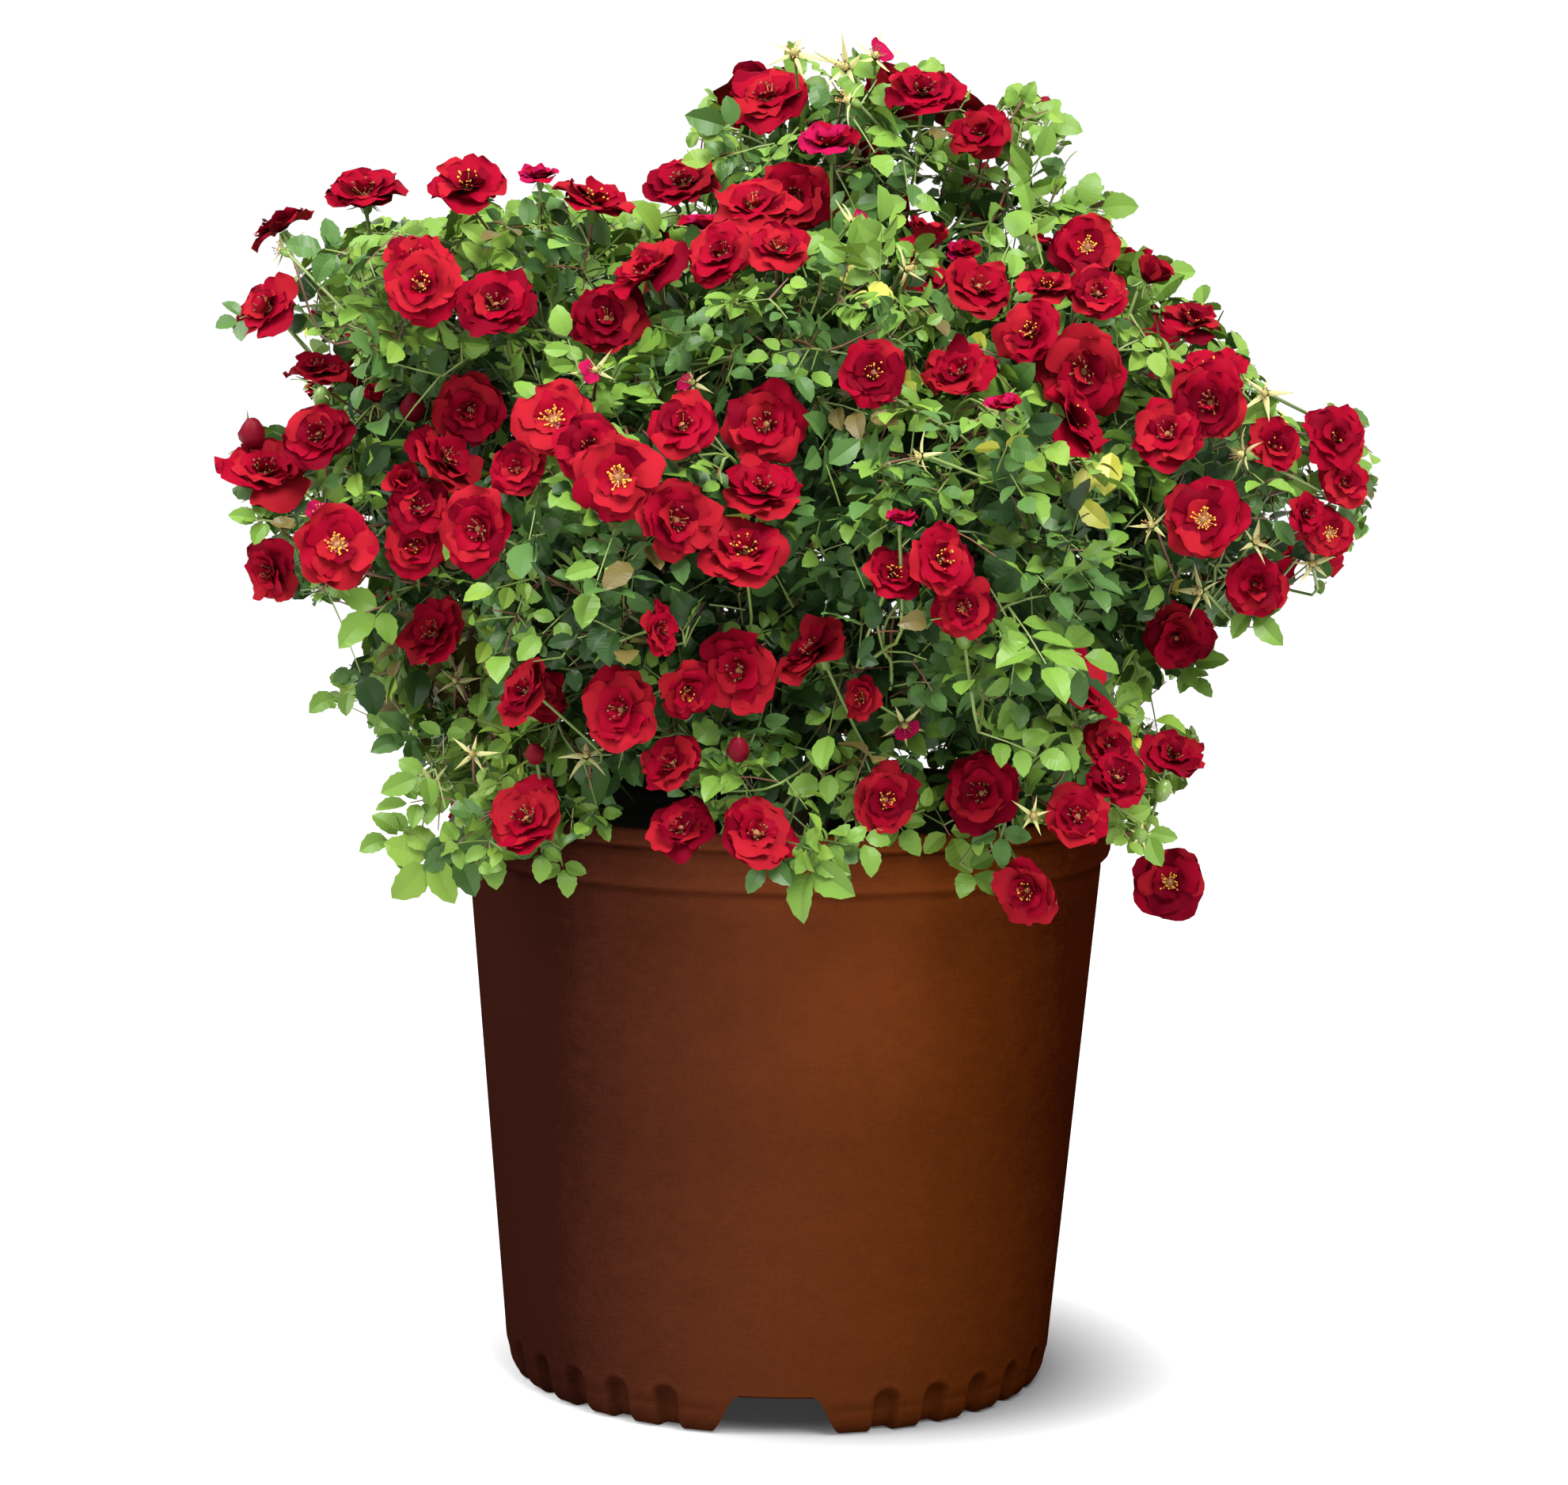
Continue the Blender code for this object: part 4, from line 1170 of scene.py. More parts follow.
class Growth:
    """The branching of the bush: from the canes' ends through the masses to tips and flowers."""

    def __init__(self):
        draws = np.random.default_rng(SEED)
        self.crown = Crown()
        self.flowers = front_flowers(self.crown, draws)
        self.flowers += far_flowers(self.crown, self.flowers, draws)
        self.middles = np.array([flower.middle for flower in self.flowers])
        self.facings = np.array([flower.facing for flower in self.flowers])
        self.radii = np.array([flower.radius for flower in self.flowers])
        ends = [(middles[-1], middles[-1] - middles[-2]) for middles, _ in cane_lines().values()]
        self.loose = loose_leaves(self.crown)
        limbs = self.fill(draws)
        tips = np.concatenate([self.shoot_tips(draws), self.low_tips(), [foot for foot, *_ in self.loose]])
        feet, tops = self.flower_stalks(draws)
        self.places = np.concatenate([[end for end, _ in ends], limbs, tips, feet, tops])
        counts = [len(ends) + len(limbs), len(tips), len(feet), len(tops)]
        self.kinds = np.repeat([LIMB, TIP, FOOT, TOP], counts)
        self.first_loose = counts[0] + len(tips) - len(self.loose)
        self.roots = len(ends)
        self.heading = np.zeros_like(self.places)
        self.heading[: self.roots] = unit(np.array([heading for _, heading in ends]))
        self.branch()
        self.measure()

    def fill(self, draws):
        """Places for joints of shoots, spread through the masses."""
        low, high = self.crown.points.min(axis=0), self.crown.points.max(axis=0)
        axes = [np.arange(a, b, NODE_PITCH) for a, b in zip(low, high)]
        cells = np.stack(np.meshgrid(*axes, indexing="ij"), axis=-1).reshape(-1, 3)
        cells = cells + draws.uniform(0.08, 0.92, cells.shape) * NODE_PITCH
        lot = draws.uniform(0, 1, len(cells))
        kept = []
        for at, share in zip(cells, lot):
            if not self.crown.holds(Vector(at)):
                continue
            deep = self.crown.under(Vector(at))[0]
            if deep > 0.006 and share < np.interp(deep, (0.03, 0.08), (1.0, 0.45)) and self.clear(at):
                kept.append(at)
        kept = np.array(kept)
        return kept[~crowds_edge(kept, EDGE_ROOM)]

    def clear(self, at):
        """True where a shoot keeps out of the petals and off the pot's wall."""
        reach = math.hypot(at[0], at[1])
        if at[2] < POT_HEIGHT + 0.006 and RIM_RADIUS - 0.01 < reach < RIM_RADIUS + 0.008:
            return False
        if at[2] < SOIL_TOP + 0.008:
            return reach > RIM_RADIUS
        gaps = at - self.middles
        high = np.einsum("ij,ij->i", gaps, self.facings)
        aside = np.sqrt(np.maximum(np.einsum("ij,ij->i", gaps, gaps) - high**2, 0))
        return not np.any((aside < self.radii * 1.1) & (high > -0.006) & (high < 0.05))

    def shoot_tips(self, draws):
        """Places for the ends of shoots, just under the open skin."""
        places, normals = self.crown.scatter(7000, draws)
        chosen = spaced(places, TIP_SPACING)
        sink = draws.uniform(*TIP_SINK, len(places))
        tips = np.array([places[index] - normals[index] * sink[index] for index in chosen])
        tips = tips[~crowds_edge(tips, EDGE_ROOM)]
        return np.array([tip for tip in tips if self.clear(tip)])

    def low_tips(self):
        """Shoot tips under the crown at the sides and the back, where it closes over the pot's rim."""
        draws = np.random.default_rng(SEED + 9)
        turn = draws.uniform(LOW_TURN, 2 * np.pi - LOW_TURN, 900)
        reach, height = draws.uniform(*LOW_REACH, 900), draws.uniform(*LOW_HEIGHT, 900)
        places = round_axis(reach, turn, height)
        places = places[~crowds_edge(places, LOW_SPACING)]
        return np.array([places[index] for index in spaced(places, LOW_SPACING) if self.clear(places[index])])

    def flower_stalks(self, draws):
        """The foot and the top of each flower's stalk: the foot lies behind it, inside the crown."""
        feet, tops = [], []
        for flower in self.flowers:
            scale = flower.radius / USUAL_HALF_WIDTH
            stem = BUD_STALK if flower.kind in BUD_PROFILES else FLOWER_STALK
            inward = np.array((0, 0, CROWN_MIDDLE)) - flower.middle
            back = -flower.facing * stem - np.array((0, 0, 0.01)) + draws.normal(0, 0.004, 3)
            if against_sky(flower.middle + back) or self.crown.under(Vector(flower.middle + back))[0] > 0.03:
                back = unit(unit(inward) - flower.facing * 0.35) * stem
            foot = flower.middle + back
            if foot[2] < POT_HEIGHT + 0.004 and math.hypot(*foot[:2]) < RIM_RADIUS + 0.006:
                foot[2] = POT_HEIGHT + 0.01
            feet.append(foot)
            tops.append(flower.middle - flower.facing * 0.007 * min(1.0, scale))
        return np.array(feet), np.array(tops)

    def branch(self):
        """Each place joins the shoot that reaches it by the shortest and straightest way."""
        number = len(self.places)
        cost = np.full(number, np.inf)
        self.parent = np.full(number, -1)
        done = self.kinds == TOP
        self.walked = np.zeros(number)
        order = list(range(self.roots))
        done[: self.roots] = True

        def offer(index):
            gap = self.places - self.places[index]
            far = np.linalg.norm(gap, axis=1) + 1e-9
            bend = 1 - gap @ self.heading[index] / far
            price = far * (1 + BEND_PRICE * bend) + WALK_PRICE * self.walked[index] + self.through_wall(index)
            better = (price < cost) & ~done
            cost[better] = price[better]
            self.parent[better] = index

        for index in order:
            offer(index)
        while not done.all():
            index = int(np.argmin(np.where(done, np.inf, cost)))
            done[index] = True
            parent = self.parent[index]
            step = self.places[index] - self.places[parent]
            self.walked[index] = self.walked[parent] + np.linalg.norm(step)
            self.heading[index] = unit(step)
            order.append(index)
            if self.kinds[index] == LIMB:
                offer(index)
        tops = np.nonzero(self.kinds == TOP)[0]
        self.parent[tops] = np.nonzero(self.kinds == FOOT)[0]
        self.heading[tops] = self.facings
        self.order = order + tops.tolist()

    def through_wall(self, index):
        """A price on ways that would pass through the wall of the pot."""
        reach = np.hypot(self.places[:, 0], self.places[:, 1])
        here = reach[index]
        share = (RIM_RADIUS - here) / np.where(np.abs(reach - here) < 1e-6, 1e-6, reach - here)
        height = self.places[index, 2] + share * (self.places[:, 2] - self.places[index, 2])
        return ((share > 0) & (share < 1) & (height < POT_HEIGHT + 0.006)) * 1.0

    def measure(self):
        """How many joints each shoot carries, its thickness, and its depth under the skin."""
        self.carried = np.ones(len(self.places))
        self.children = [[] for _ in self.places]
        for index in reversed(self.order):
            if self.parent[index] >= 0:
                self.carried[self.parent[index]] += self.carried[index]
                self.children[self.parent[index]].append(index)
        self.radius = np.minimum(TWIG_RADIUS * self.carried**TWIG_SWELL, CANE_END_RADIUS)
        self.radius[self.kinds == FOOT] = FLOWER_STALK_RADIUS
        self.radius[self.kinds == TOP] = FLOWER_STALK_TOP_RADIUS
        for index in self.order:
            if self.parent[index] >= 0 and self.kinds[index] == LIMB:
                self.radius[index] = min(self.radius[index], self.radius[self.parent[index]])
        found = [self.crown.under(Vector(at)) for at in self.places]
        inside = np.array([self.crown.holds(Vector(at)) for at in self.places])
        self.depth = np.array([far for far, _, _ in found]) * np.where(inside, 1, -1)
        self.normal = np.array([normal for _, normal, _ in found])
        self.owner = np.array([owner for _, _, owner in found])

    def shoots(self):
        """Every shoot as the numbers of its joints; the first is the joint it springs from."""
        waiting = [(index, None) for index in range(self.roots)]
        while waiting:
            index, spring = waiting.pop(0)
            chain = [index] if spring is None else [spring, index]
            while self.children[index]:
                ranked = sorted(self.children[index], key=lambda child: -self.carried[child])
                waiting += [(child, index) for child in ranked[1:]]
                index = ranked[0]
                chain.append(index)
            yield chain


@functools.lru_cache(maxsize=None)
def growth():
    return Growth()


def make_twigs():
    """The boughs and twigs that grow on from the canes through every mass, with prickles."""
    bush = growth()
    draws = np.random.default_rng(SEED + 3)
    chosen = settings("foliage")
    pile = Pile()
    sprays, *_, leaf, kept = foliage()
    dressed = set(sprays.joint[leaf[kept]])
    for chain in bush.shoots():
        while len(chain) > 1 and not (bush.kinds[chain[-1]] == TOP or chain[-1] in dressed
                                      or len(bush.children[chain[-1]]) > 1):
            chain.pop()
        if len(chain) < 2:
            continue
        places = bush.places[chain]
        radii = bush.radius[chain].copy()
        thick = radii[1]
        if chain[0] >= bush.roots or len(chain) == 2:
            radii[0] = min(radii[0], thick * 1.25)
        steps = 3 if thick > SHOOT_RADIUS or bush.kinds[chain[-1]] == TOP else 2
        sides = 7 if thick > BOUGH_RADIUS else 5 if thick > SHOOT_RADIUS else 4
        lead = bush.heading[chain[0]] * np.linalg.norm(places[1] - places[0]) * 0.8
        path = smooth_path(places, places[0] - lead, steps)
        swell = np.interp(np.arange(len(path)), np.arange(len(radii)) * steps, radii)
        shoot = RED_SHOOT if draws.uniform() < 0.24 else GREEN_SHOOT
        tube(pile, path, swell, sides, BOUGH if thick > BARK_RADIUS else shoot)
        if thick > SHOOT_RADIUS:
            steps = (0, len(path) - 1)
            number = int(len(path) * 0.4)
            add_prickles(pile, path, swell, number, steps, (0.0012, 0.0022), TWIG_PRICKLE, draws)
    place("twigs", pile, [
        plain("green_bough", settings("pot").young_bark, 0.5),
        plain("green_shoot", chosen.stalk, 0.42),
        plain("red_shoot", chosen.red_stalk, 0.4),
        plain("twig_prickle", (0.26, 0.08, 0.04), 0.4),
    ])


# ---- leaves ----

DEEP, BLUE, MID, BRIGHT, LIME, YELLOW, BRONZE, STALK, RED_STALK = range(9)
# What is known of each leaf.
LEAF_ROW = (
    "foot", "heading", "face", "length", "size", "leaflets", "tone", "owner", "depth", "joint", "loose",
)
# A spray's painted light, which picks a darker or paler green for it: what it starts from, what the skin's
# tilt adds, what each metre across and each metre above or below the middle add, what depth takes away, and
# what low sprays get, more so on the right.
LIGHT_MIDDLE = 0.36
LIGHT_TILT, LIGHT_ACROSS, LIGHT_UP, LIGHT_DEPTH = 0.3, 1.6, 2.3, 11.0
LIGHT_START = -0.29
SHADED_FROM = 0.012
LOW_FROM = 0.33
LOW_LIGHT, LOW_LIGHT_RIGHT = 2.5, 26.0
# How near a flower a leaflet has to be to be looked at, how far it reaches from its middle, and how high
# over a flower or a bud it would hide it.
NEAR_FLOWER = 0.07
LEAF_REACH = 0.018
FLOWER_ROOM, BUD_ROOM = 0.045, 0.012
# How far leaflets keep from the outside and the inside of the pot's wall.
OUTSIDE_GAP, WALL_ROOM = 0.0012, 0.0045
# The painted light up to which a spray takes each green; past the last it is yellow green.
GREENS = ((-0.28, DEEP), (0.04, BLUE), (0.46, MID), (0.98, BRIGHT))
# The name, colour, roughness and shine of each finish, in the order of the tones.
LEAF_FINISHES = (
    ("leaf_deep", "deep", 0.36, 0.16),
    ("leaf_blue_green", "blue", 0.34, 0.16),
    ("leaf_mid", "mid", 0.38, 0.16),
    ("leaf_bright", "bright", 0.42, 0.16),
    ("leaf_yellow_green", "lime", 0.46, 0.16),
    ("leaf_yellow", "yellow", 0.5, 0.5),
    ("leaf_bronze", "bronze", 0.36, 0.16),
    ("leaf_stalk", "stalk", 0.45, 0.5),
    ("leaf_stalk_red", "red_stalk", 0.45, 0.5),
)
# Where the leaflets stand along the stalk, as (share of the stalk, side, size).
LEAF_PATTERNS = {
    3: ((0.62, 1, 0.8), (0.62, -1, 0.8), (1.0, 0, 1.0)),
    5: ((0.4, 1, 0.74), (0.4, -1, 0.74), (0.73, 1, 0.92), (0.73, -1, 0.92), (1.0, 0, 1.0)),
    7: (
        (0.28, 1, 0.62), (0.28, -1, 0.62), (0.53, 1, 0.8), (0.53, -1, 0.8),
        (0.78, 1, 0.92), (0.78, -1, 0.92), (1.0, 0, 1.0),
    ),
}


def leaflet_shape(draws, stations):
    """An oval, toothed leaflet one long, folded along its rib: its points and its two kinds of face."""
    half = draws.uniform(0.295, 0.36)
    fold, arch, wave = draws.uniform(0.1, 0.38), draws.uniform(0.05, 0.5), draws.uniform(0, 0.04)
    lean = draws.uniform(-0.05, 0.05)
    along = np.linspace(0, 1, stations)
    along = along + 0.045 * np.sin(2 * np.pi * along)
    width = half * np.sin(np.pi * along**0.86) ** 0.7
    tooth = np.where(np.arange(stations) % 2 == 1, 1.045, 0.955)
    tooth[[0, -1]] = 1
    drop = -arch * (along - 0.3) ** 2
    rib = np.stack([lean * np.sin(np.pi * along), along, drop], axis=1)
    edges = []
    reach = width * tooth
    for side in (1, -1):
        height = drop + fold * reach + wave * np.sin(along * 9 + side)
        edges.append(np.stack([rib[:, 0] + side * reach, along + 0.012 * (tooth > 1), height], axis=1)[1:-1])
    points = np.concatenate([rib, *edges])
    quads, corners = [], []
    inner = stations - 2
    for side, start in ((1, stations), (-1, stations + inner)):
        turn = slice(None, None, side)
        corners.append((0, start, 1)[turn])
        corners.append((stations - 2, start + inner - 1, stations - 1)[turn])
        for step in range(1, stations - 2):
            quads.append((step, start + step - 1, start + step, step + 1)[turn])
    return points, np.array(quads), np.array(corners)


class LeafSprays:
    """All leaves of the bush, as arrays with a row for each leaf."""

    def __init__(self, bush, draws):
        self.bush = bush
        self.draws = draws
        rows = self.set_out()
        for key, values in zip(LEAF_ROW, zip(*rows)):
            setattr(self, key, np.array(values))
        self.side = unit(np.cross(self.heading, self.face))
        self.face = unit(np.cross(self.side, self.heading))
        self.droop = self.draws.uniform(0.02, 0.22, len(self.foot)) * ~self.loose

    def set_out(self):
        """Leaves spiral up each shoot, more of them near the light."""
        bush, draws, chosen = self.bush, self.draws, settings("foliage")
        rows = []
        for chain in bush.shoots():
            turn = draws.uniform(0, 2 * np.pi)
            for index in chain[1:]:
                kind, deep = bush.kinds[index], bush.depth[index]
                if kind == TOP:
                    continue
                if kind == TIP:
                    number = int(draws.choice((2, 3, 4), p=(0.3, 0.45, 0.25)))
                else:
                    share = np.interp(deep, (0.026, 0.042, 0.062, 0.09), (1.0, 0.85, 0.42, 0.14))
                    number = int(draws.uniform() < share) + int(deep < 0.034 and draws.uniform() < 0.55)
                for _ in range(number):
                    turn += GOLDEN_TURN + draws.normal(0, 0.25)
                    rows.append(self.leaf(index, kind, deep, turn, chosen))
        for number, (foot, tip, size, leaflets) in enumerate(bush.loose):
            reach = np.linalg.norm(tip - foot)
            face = unit(unit(np.array(EYE) - foot) + np.array((0, 0, 0.35)) + draws.normal(0, 0.18, 3))
            tone = int(draws.choice((BLUE, MID, BRIGHT), p=(0.2, 0.68, 0.12)))
            owner = bush.crown.under(Vector(foot))[2]
            rows.append((foot, (tip - foot) / reach, face, max(reach - size, 0.004), size, leaflets, tone,
                         owner, 0.0, bush.first_loose + number, True))
        return rows

    def leaf(self, index, kind, deep, turn, chosen):
        """What is known of one leaf, which springs from a joint at this turn round its shoot."""
        bush, draws = self.bush, self.draws
        along, skin = bush.heading[index], bush.normal[index]
        first = unit(np.cross(along, (0.31, 0.87, 0.38)))
        second = np.cross(along, first)
        around = first * math.cos(turn) + second * math.sin(turn)
        forward = 0.75 if kind == TIP else 0.35
        heading = unit(along * forward + around * 0.9 + skin * 0.3 + np.array((0, 0, 0.1)))
        size = draws.uniform(0.64, 1.34) * (0.82 if kind == TIP else 1.0) * (0.86 if kind == FOOT else 1.0)
        over = heading @ skin - (deep + LEAF_OVERHANG) / ((chosen.leaf + chosen.leaflet) * size)
        if over > 0:
            heading = unit(heading - skin * over)
        face = unit(skin * 0.5 + LEAF_LIGHT + draws.normal(0, 0.26, 3))
        if abs(face @ heading) > 0.93:
            face = unit(face + around * 0.5 + np.array((0, 0, 0.3)))
        leaflets = int(draws.choice((3, 5, 7), p=(0.14, 0.7, 0.16) if kind == LIMB else (0.3, 0.62, 0.08)))
        place_at = bush.places[index] + draws.normal(0, 0.0015, 3) * (kind == LIMB)
        tone = self.green(place_at, skin, deep, kind)
        return (place_at, heading, face, chosen.leaf * size, chosen.leaflet * size, leaflets, tone,
                bush.owner[index], deep, index, False)

    def green(self, at, skin, deep, kind):
        """The green of one spray, partly its age and partly painted light and shade: darker deep inside the
        crown, paler to its edges and at the shoots' tips.
        """
        light = LIGHT_TILT * skin[2] + LIGHT_ACROSS * abs(at[0]) + LIGHT_UP * abs(at[2] - LIGHT_MIDDLE)
        light += LIGHT_START - LIGHT_DEPTH * max(deep - SHADED_FROM, 0)
        light += (LOW_LIGHT + LOW_LIGHT_RIGHT * max(at[0], 0)) * max(LOW_FROM - at[2], 0)
        light += self.draws.normal(0, 0.24) + (0.12 if kind == TIP else 0.0)
        lot = self.draws.uniform()
        seen = np.array(seen_at(at))
        if at[1] < 0 and any(np.hypot(*(seen - (x, z))) < reach for x, z, reach in NEW_GROWTH) and lot < 0.6:
            return BRONZE if lot < 0.3 else LIME
        if kind == TIP and lot < 0.05:
            return BRONZE
        if lot > 0.988 and deep < 0.03:
            return YELLOW
        for mark, tone in GREENS:
            if light < mark:
                return tone
        return LIME if lot < 0.95 else YELLOW

    def along_stalk(self, share):
        """The place at this share of every leaf's stalk."""
        share = np.broadcast_to(share, self.length.shape)
        reach = self.heading * (self.length * share)[:, None]
        return self.foot + reach - np.array(UP) * (self.droop * self.length * share**2)[:, None]

    def leaflets_of(self):
        """Every leaflet: its foot, heading, face, size, the number of its leaf and its place on the stalk."""
        parts = []
        for count, pattern in LEAF_PATTERNS.items():
            mine = np.nonzero(self.leaflets == count)[0]
            for share, side, size in pattern:
                at = self.along_stalk(share)[mine]
                ahead = self.heading[mine] - np.array(UP) * (self.droop[mine] * share)[:, None]
                if side:
                    spread = self.draws.normal(0, 0.14, (len(mine), 1))
                    heading = unit(ahead * (0.42 + spread) + self.side[mine] * side * 0.9)
                    tilt = self.side[mine] * side * self.draws.normal(-0.12, 0.16, (len(mine), 1))
                else:
                    heading, tilt = unit(ahead), 0
                face = self.face[mine] + tilt + self.draws.normal(0, 0.13, (len(mine), 3))
                across = unit(np.cross(heading, face))
                face = np.cross(across, heading)
                scale = self.size[mine] * size * self.draws.uniform(0.88, 1.1, len(mine))
                parts.append((at + heading * 0.0012, heading, face, scale, mine, np.full(len(mine), share)))
        return [np.concatenate(values) for values in zip(*parts)]


def ahead_and_aside(gap, heading):
    """How far along a heading places lie, and how far beside it."""
    ahead = gap @ heading
    return ahead, np.sqrt(np.maximum((gap * gap).sum(axis=-1) - ahead**2, 0))


def hides_flower(bush, marks):
    """True for leaflets that lie among petals, over a flower's face, or before it as the eye sees it."""
    hidden = np.zeros(len(marks), bool)
    for flower in bush.flowers:
        small = flower.kind in BUD_PROFILES
        to_eye = unit(np.array(EYE) - flower.middle)
        gap = marks[:, 1] - flower.middle
        around = ahead_and_aside(gap, to_eye)[1] < flower.radius + LEAF_REACH
        close = np.nonzero(((gap * gap).sum(axis=1) < NEAR_FLOWER**2) | around)[0]
        gap = marks[close] - flower.middle
        high, aside = ahead_and_aside(gap, flower.facing)
        room = flower.radius * (0.8 if flower.kind == "spent" else 0.98)
        top = BUD_ROOM if small else FLOWER_ROOM
        covers = ((aside < room) & (high > -0.003) & (high < top)).any(axis=1)
        if flower.near and not small:
            ahead, aside = ahead_and_aside(gap, to_eye)
            covers |= ((aside < flower.radius * 0.82) & (ahead > 0)).any(axis=1)
        hidden[close] |= covers
    return hidden


def meets_pot(places):
    """True where any of each leaflet's points lies in the pot's wall, or its points lie on both sides."""
    reach = np.hypot(places[..., 0], places[..., 1])
    wall = np.where(places[..., 2] < BAND_FOOT, wall_radius(places[..., 2]), RIM_RADIUS)
    low = places[..., 2] < POT_HEIGHT + 0.0015
    within = low & (reach < wall + OUTSIDE_GAP)
    in_wall = within & (reach > wall - WALL_ROOM)
    outside = low & (reach >= wall + OUTSIDE_GAP)
    buried = within & (places[..., 2] < SOIL_TOP + 0.002)
    return in_wall.any(axis=1) | buried.any(axis=1) | (within.any(axis=1) & outside.any(axis=1))


def beyond_box(places, spare):
    """True where any of each leaflet's points leaves the CAD model's box by more than is spare."""
    low, high = (np.array(corner) for corner in CAD_BOX)
    return ((places < low - spare) | (places > high + spare)).any(axis=(1, 2))


@functools.lru_cache(maxsize=None)
def foliage():
    """The leaves, their leaflets, and which leaflets stay."""
    bush = growth()
    sprays = LeafSprays(bush, np.random.default_rng(SEED + 4))
    foot, heading, face, size, leaf, share = sprays.leaflets_of()
    side = np.cross(heading, face)
    reach = size[:, None]
    half = foot + heading * reach * 0.5
    aside = side * reach * 0.35
    marks = np.stack([foot, half, foot + heading * reach, half + aside, half - aside], axis=1)
    bare = against_sky(marks).any(axis=1) | in_opening(marks[:, 1]) | hides_flower(bush, marks)
    kept = ~(bare & ~sprays.loose[leaf] | meets_pot(marks) | beyond_box(marks, LEAF_OVERHANG))
    sprays.last = np.zeros(len(sprays.foot))
    np.maximum.at(sprays.last, leaf[kept], share[kept])
    return sprays, foot, side, heading, face, size, leaf, kept


def make_leaves():
    """Compound leaves, in a piece for each mass of the crown."""
    bush = growth()
    draws = np.random.default_rng(SEED + 8)
    sprays, foot, side, heading, face, size, leaf, kept = foliage()
    shapes = [leaflet_shape(draws, 9) for _ in range(7)]
    plain_shapes = [leaflet_shape(draws, 5) for _ in range(3)]
    choice = draws.integers(0, len(shapes), len(foot))
    near = sprays.depth[leaf] < 0.027
    chosen = settings("foliage")
    finishes = [plain(name, getattr(chosen, tint), roughness, Specular_IOR_Level=shine)
                for name, tint, roughness, shine in LEAF_FINISHES]
    for number, name in enumerate(bush.crown.names):
        pile = Pile()
        mine = kept & (sprays.owner[leaf] == number)
        for detailed, variants in ((True, shapes), (False, plain_shapes)):
            for index, (points, quads, corners) in enumerate(variants):
                rows = np.nonzero(mine & (near == detailed) & (choice % len(variants) == index))[0]
                if not len(rows):
                    continue
                set_out = np.stack([side[rows], heading[rows], face[rows]], axis=1) * size[rows, None, None]
                placed = foot[rows, None, :] + np.einsum("pk,nkc->npc", points, set_out)
                pile.add_many(placed, [quads, corners], sprays.tone[leaf[rows]])
        add_stalks(pile, sprays, np.unique(leaf[mine]), draws)
        place(f"leaves_{name}", pile, finishes, [name], smooth=False)


def add_stalks(pile, sprays, rows, draws):
    """Three-sided leaf stalks from the shoot to the end leaflet."""
    if not len(rows):
        return
    turns = turns_of(3)
    ring = sprays.side[rows, None] * np.cos(turns)[:, None] + sprays.face[rows, None] * np.sin(turns)[:, None]
    stations = [sprays.along_stalk(sprays.last * share)[rows][:, None, :] + ring * thick
                for share, thick in ((0.0, 0.00046), (0.5, 0.00036), (1.0, 0.00026))]
    tones = np.where(draws.uniform(0, 1, len(rows)) < 0.2, RED_STALK, STALK)
    pile.add_many(np.stack(stations, axis=1), [grid_faces(3, 3, closed=True)], tones)


# ---- flowers ----

QUARTERS = ("front", "right", "back", "left")
SCARLET, RED, CRIMSON, WINE_SHADE, MAGENTA, BLUSH = range(6)
YOUNG_HEAD, OLD_HEAD, THREAD, DOME = range(4)
CUP, SEPAL, CREAM, STRAW = range(4)
BUD, HIP = range(2)
# Whorls of petals from the outside in, as number of petals, length and half width as shares of the
# flower's half width, the rise of the petal in degrees at its foot, middle and tip, and its hollow.
WHORLS = {
    "open": (
        (5, 1.03, 0.66, (26, 10, -16), 0.08),
        (5, 0.86, 0.57, (38, 20, -6), 0.12),
        (4, 0.62, 0.42, (54, 36, 8), 0.22),
        (3, 0.4, 0.26, (76, 64, 46), 0.4),
    ),
    "gold": (
        (5, 1.03, 0.67, (22, 8, -12), 0.08),
        (5, 0.88, 0.58, (32, 14, -6), 0.1),
        (3, 0.62, 0.38, (52, 34, 10), 0.22),
    ),
    "pink": (
        (5, 1.02, 0.58, (48, 24, -20), 0.12),
        (5, 0.86, 0.46, (60, 40, 4), 0.22),
        (4, 0.62, 0.34, (78, 62, 26), 0.34),
    ),
    "side": (
        (5, 1.04, 0.62, (34, 6, -40), 0.08),
        (5, 0.92, 0.52, (50, 24, -16), 0.16),
        (4, 0.7, 0.4, (66, 44, 8), 0.28),
        (3, 0.46, 0.28, (82, 70, 46), 0.42),
    ),
    "cup": (
        (5, 1.15, 0.66, (66, 58, 22), 0.34),
        (5, 1.05, 0.56, (76, 72, 50), 0.42),
        (4, 0.9, 0.42, (84, 82, 74), 0.5),
    ),
}
# (height, half width) down the green cup under a flower of the usual half width, and how wide a sepal
# is at each share of its length, as a share of that length.
USUAL_HALF_WIDTH = 0.017
CUP_PROFILE = ((-0.0078, 0.0008), (-0.0066, 0.002), (-0.0042, 0.0028), (-0.0018, 0.0023), (-0.0006, 0.0028))
SEPAL_WIDTHS = ((0, 0.09), (0.18, 0.11), (0.42, 0.085), (0.7, 0.045), (0.88, 0.018))
# (height, width) up a bud and a hip, as shares of its half width.
BUD_PROFILES = {
    "bud": ((0.0, 0.6), (0.4, 0.98), (0.9, 1.05), (1.35, 0.86), (1.75, 0.5), (1.92, 0.06)),
    "hip": ((-1.5, 0.25), (-1.1, 0.8), (-0.4, 1.05), (0.3, 0.95), (0.8, 0.5), (0.9, 0.05)),
}
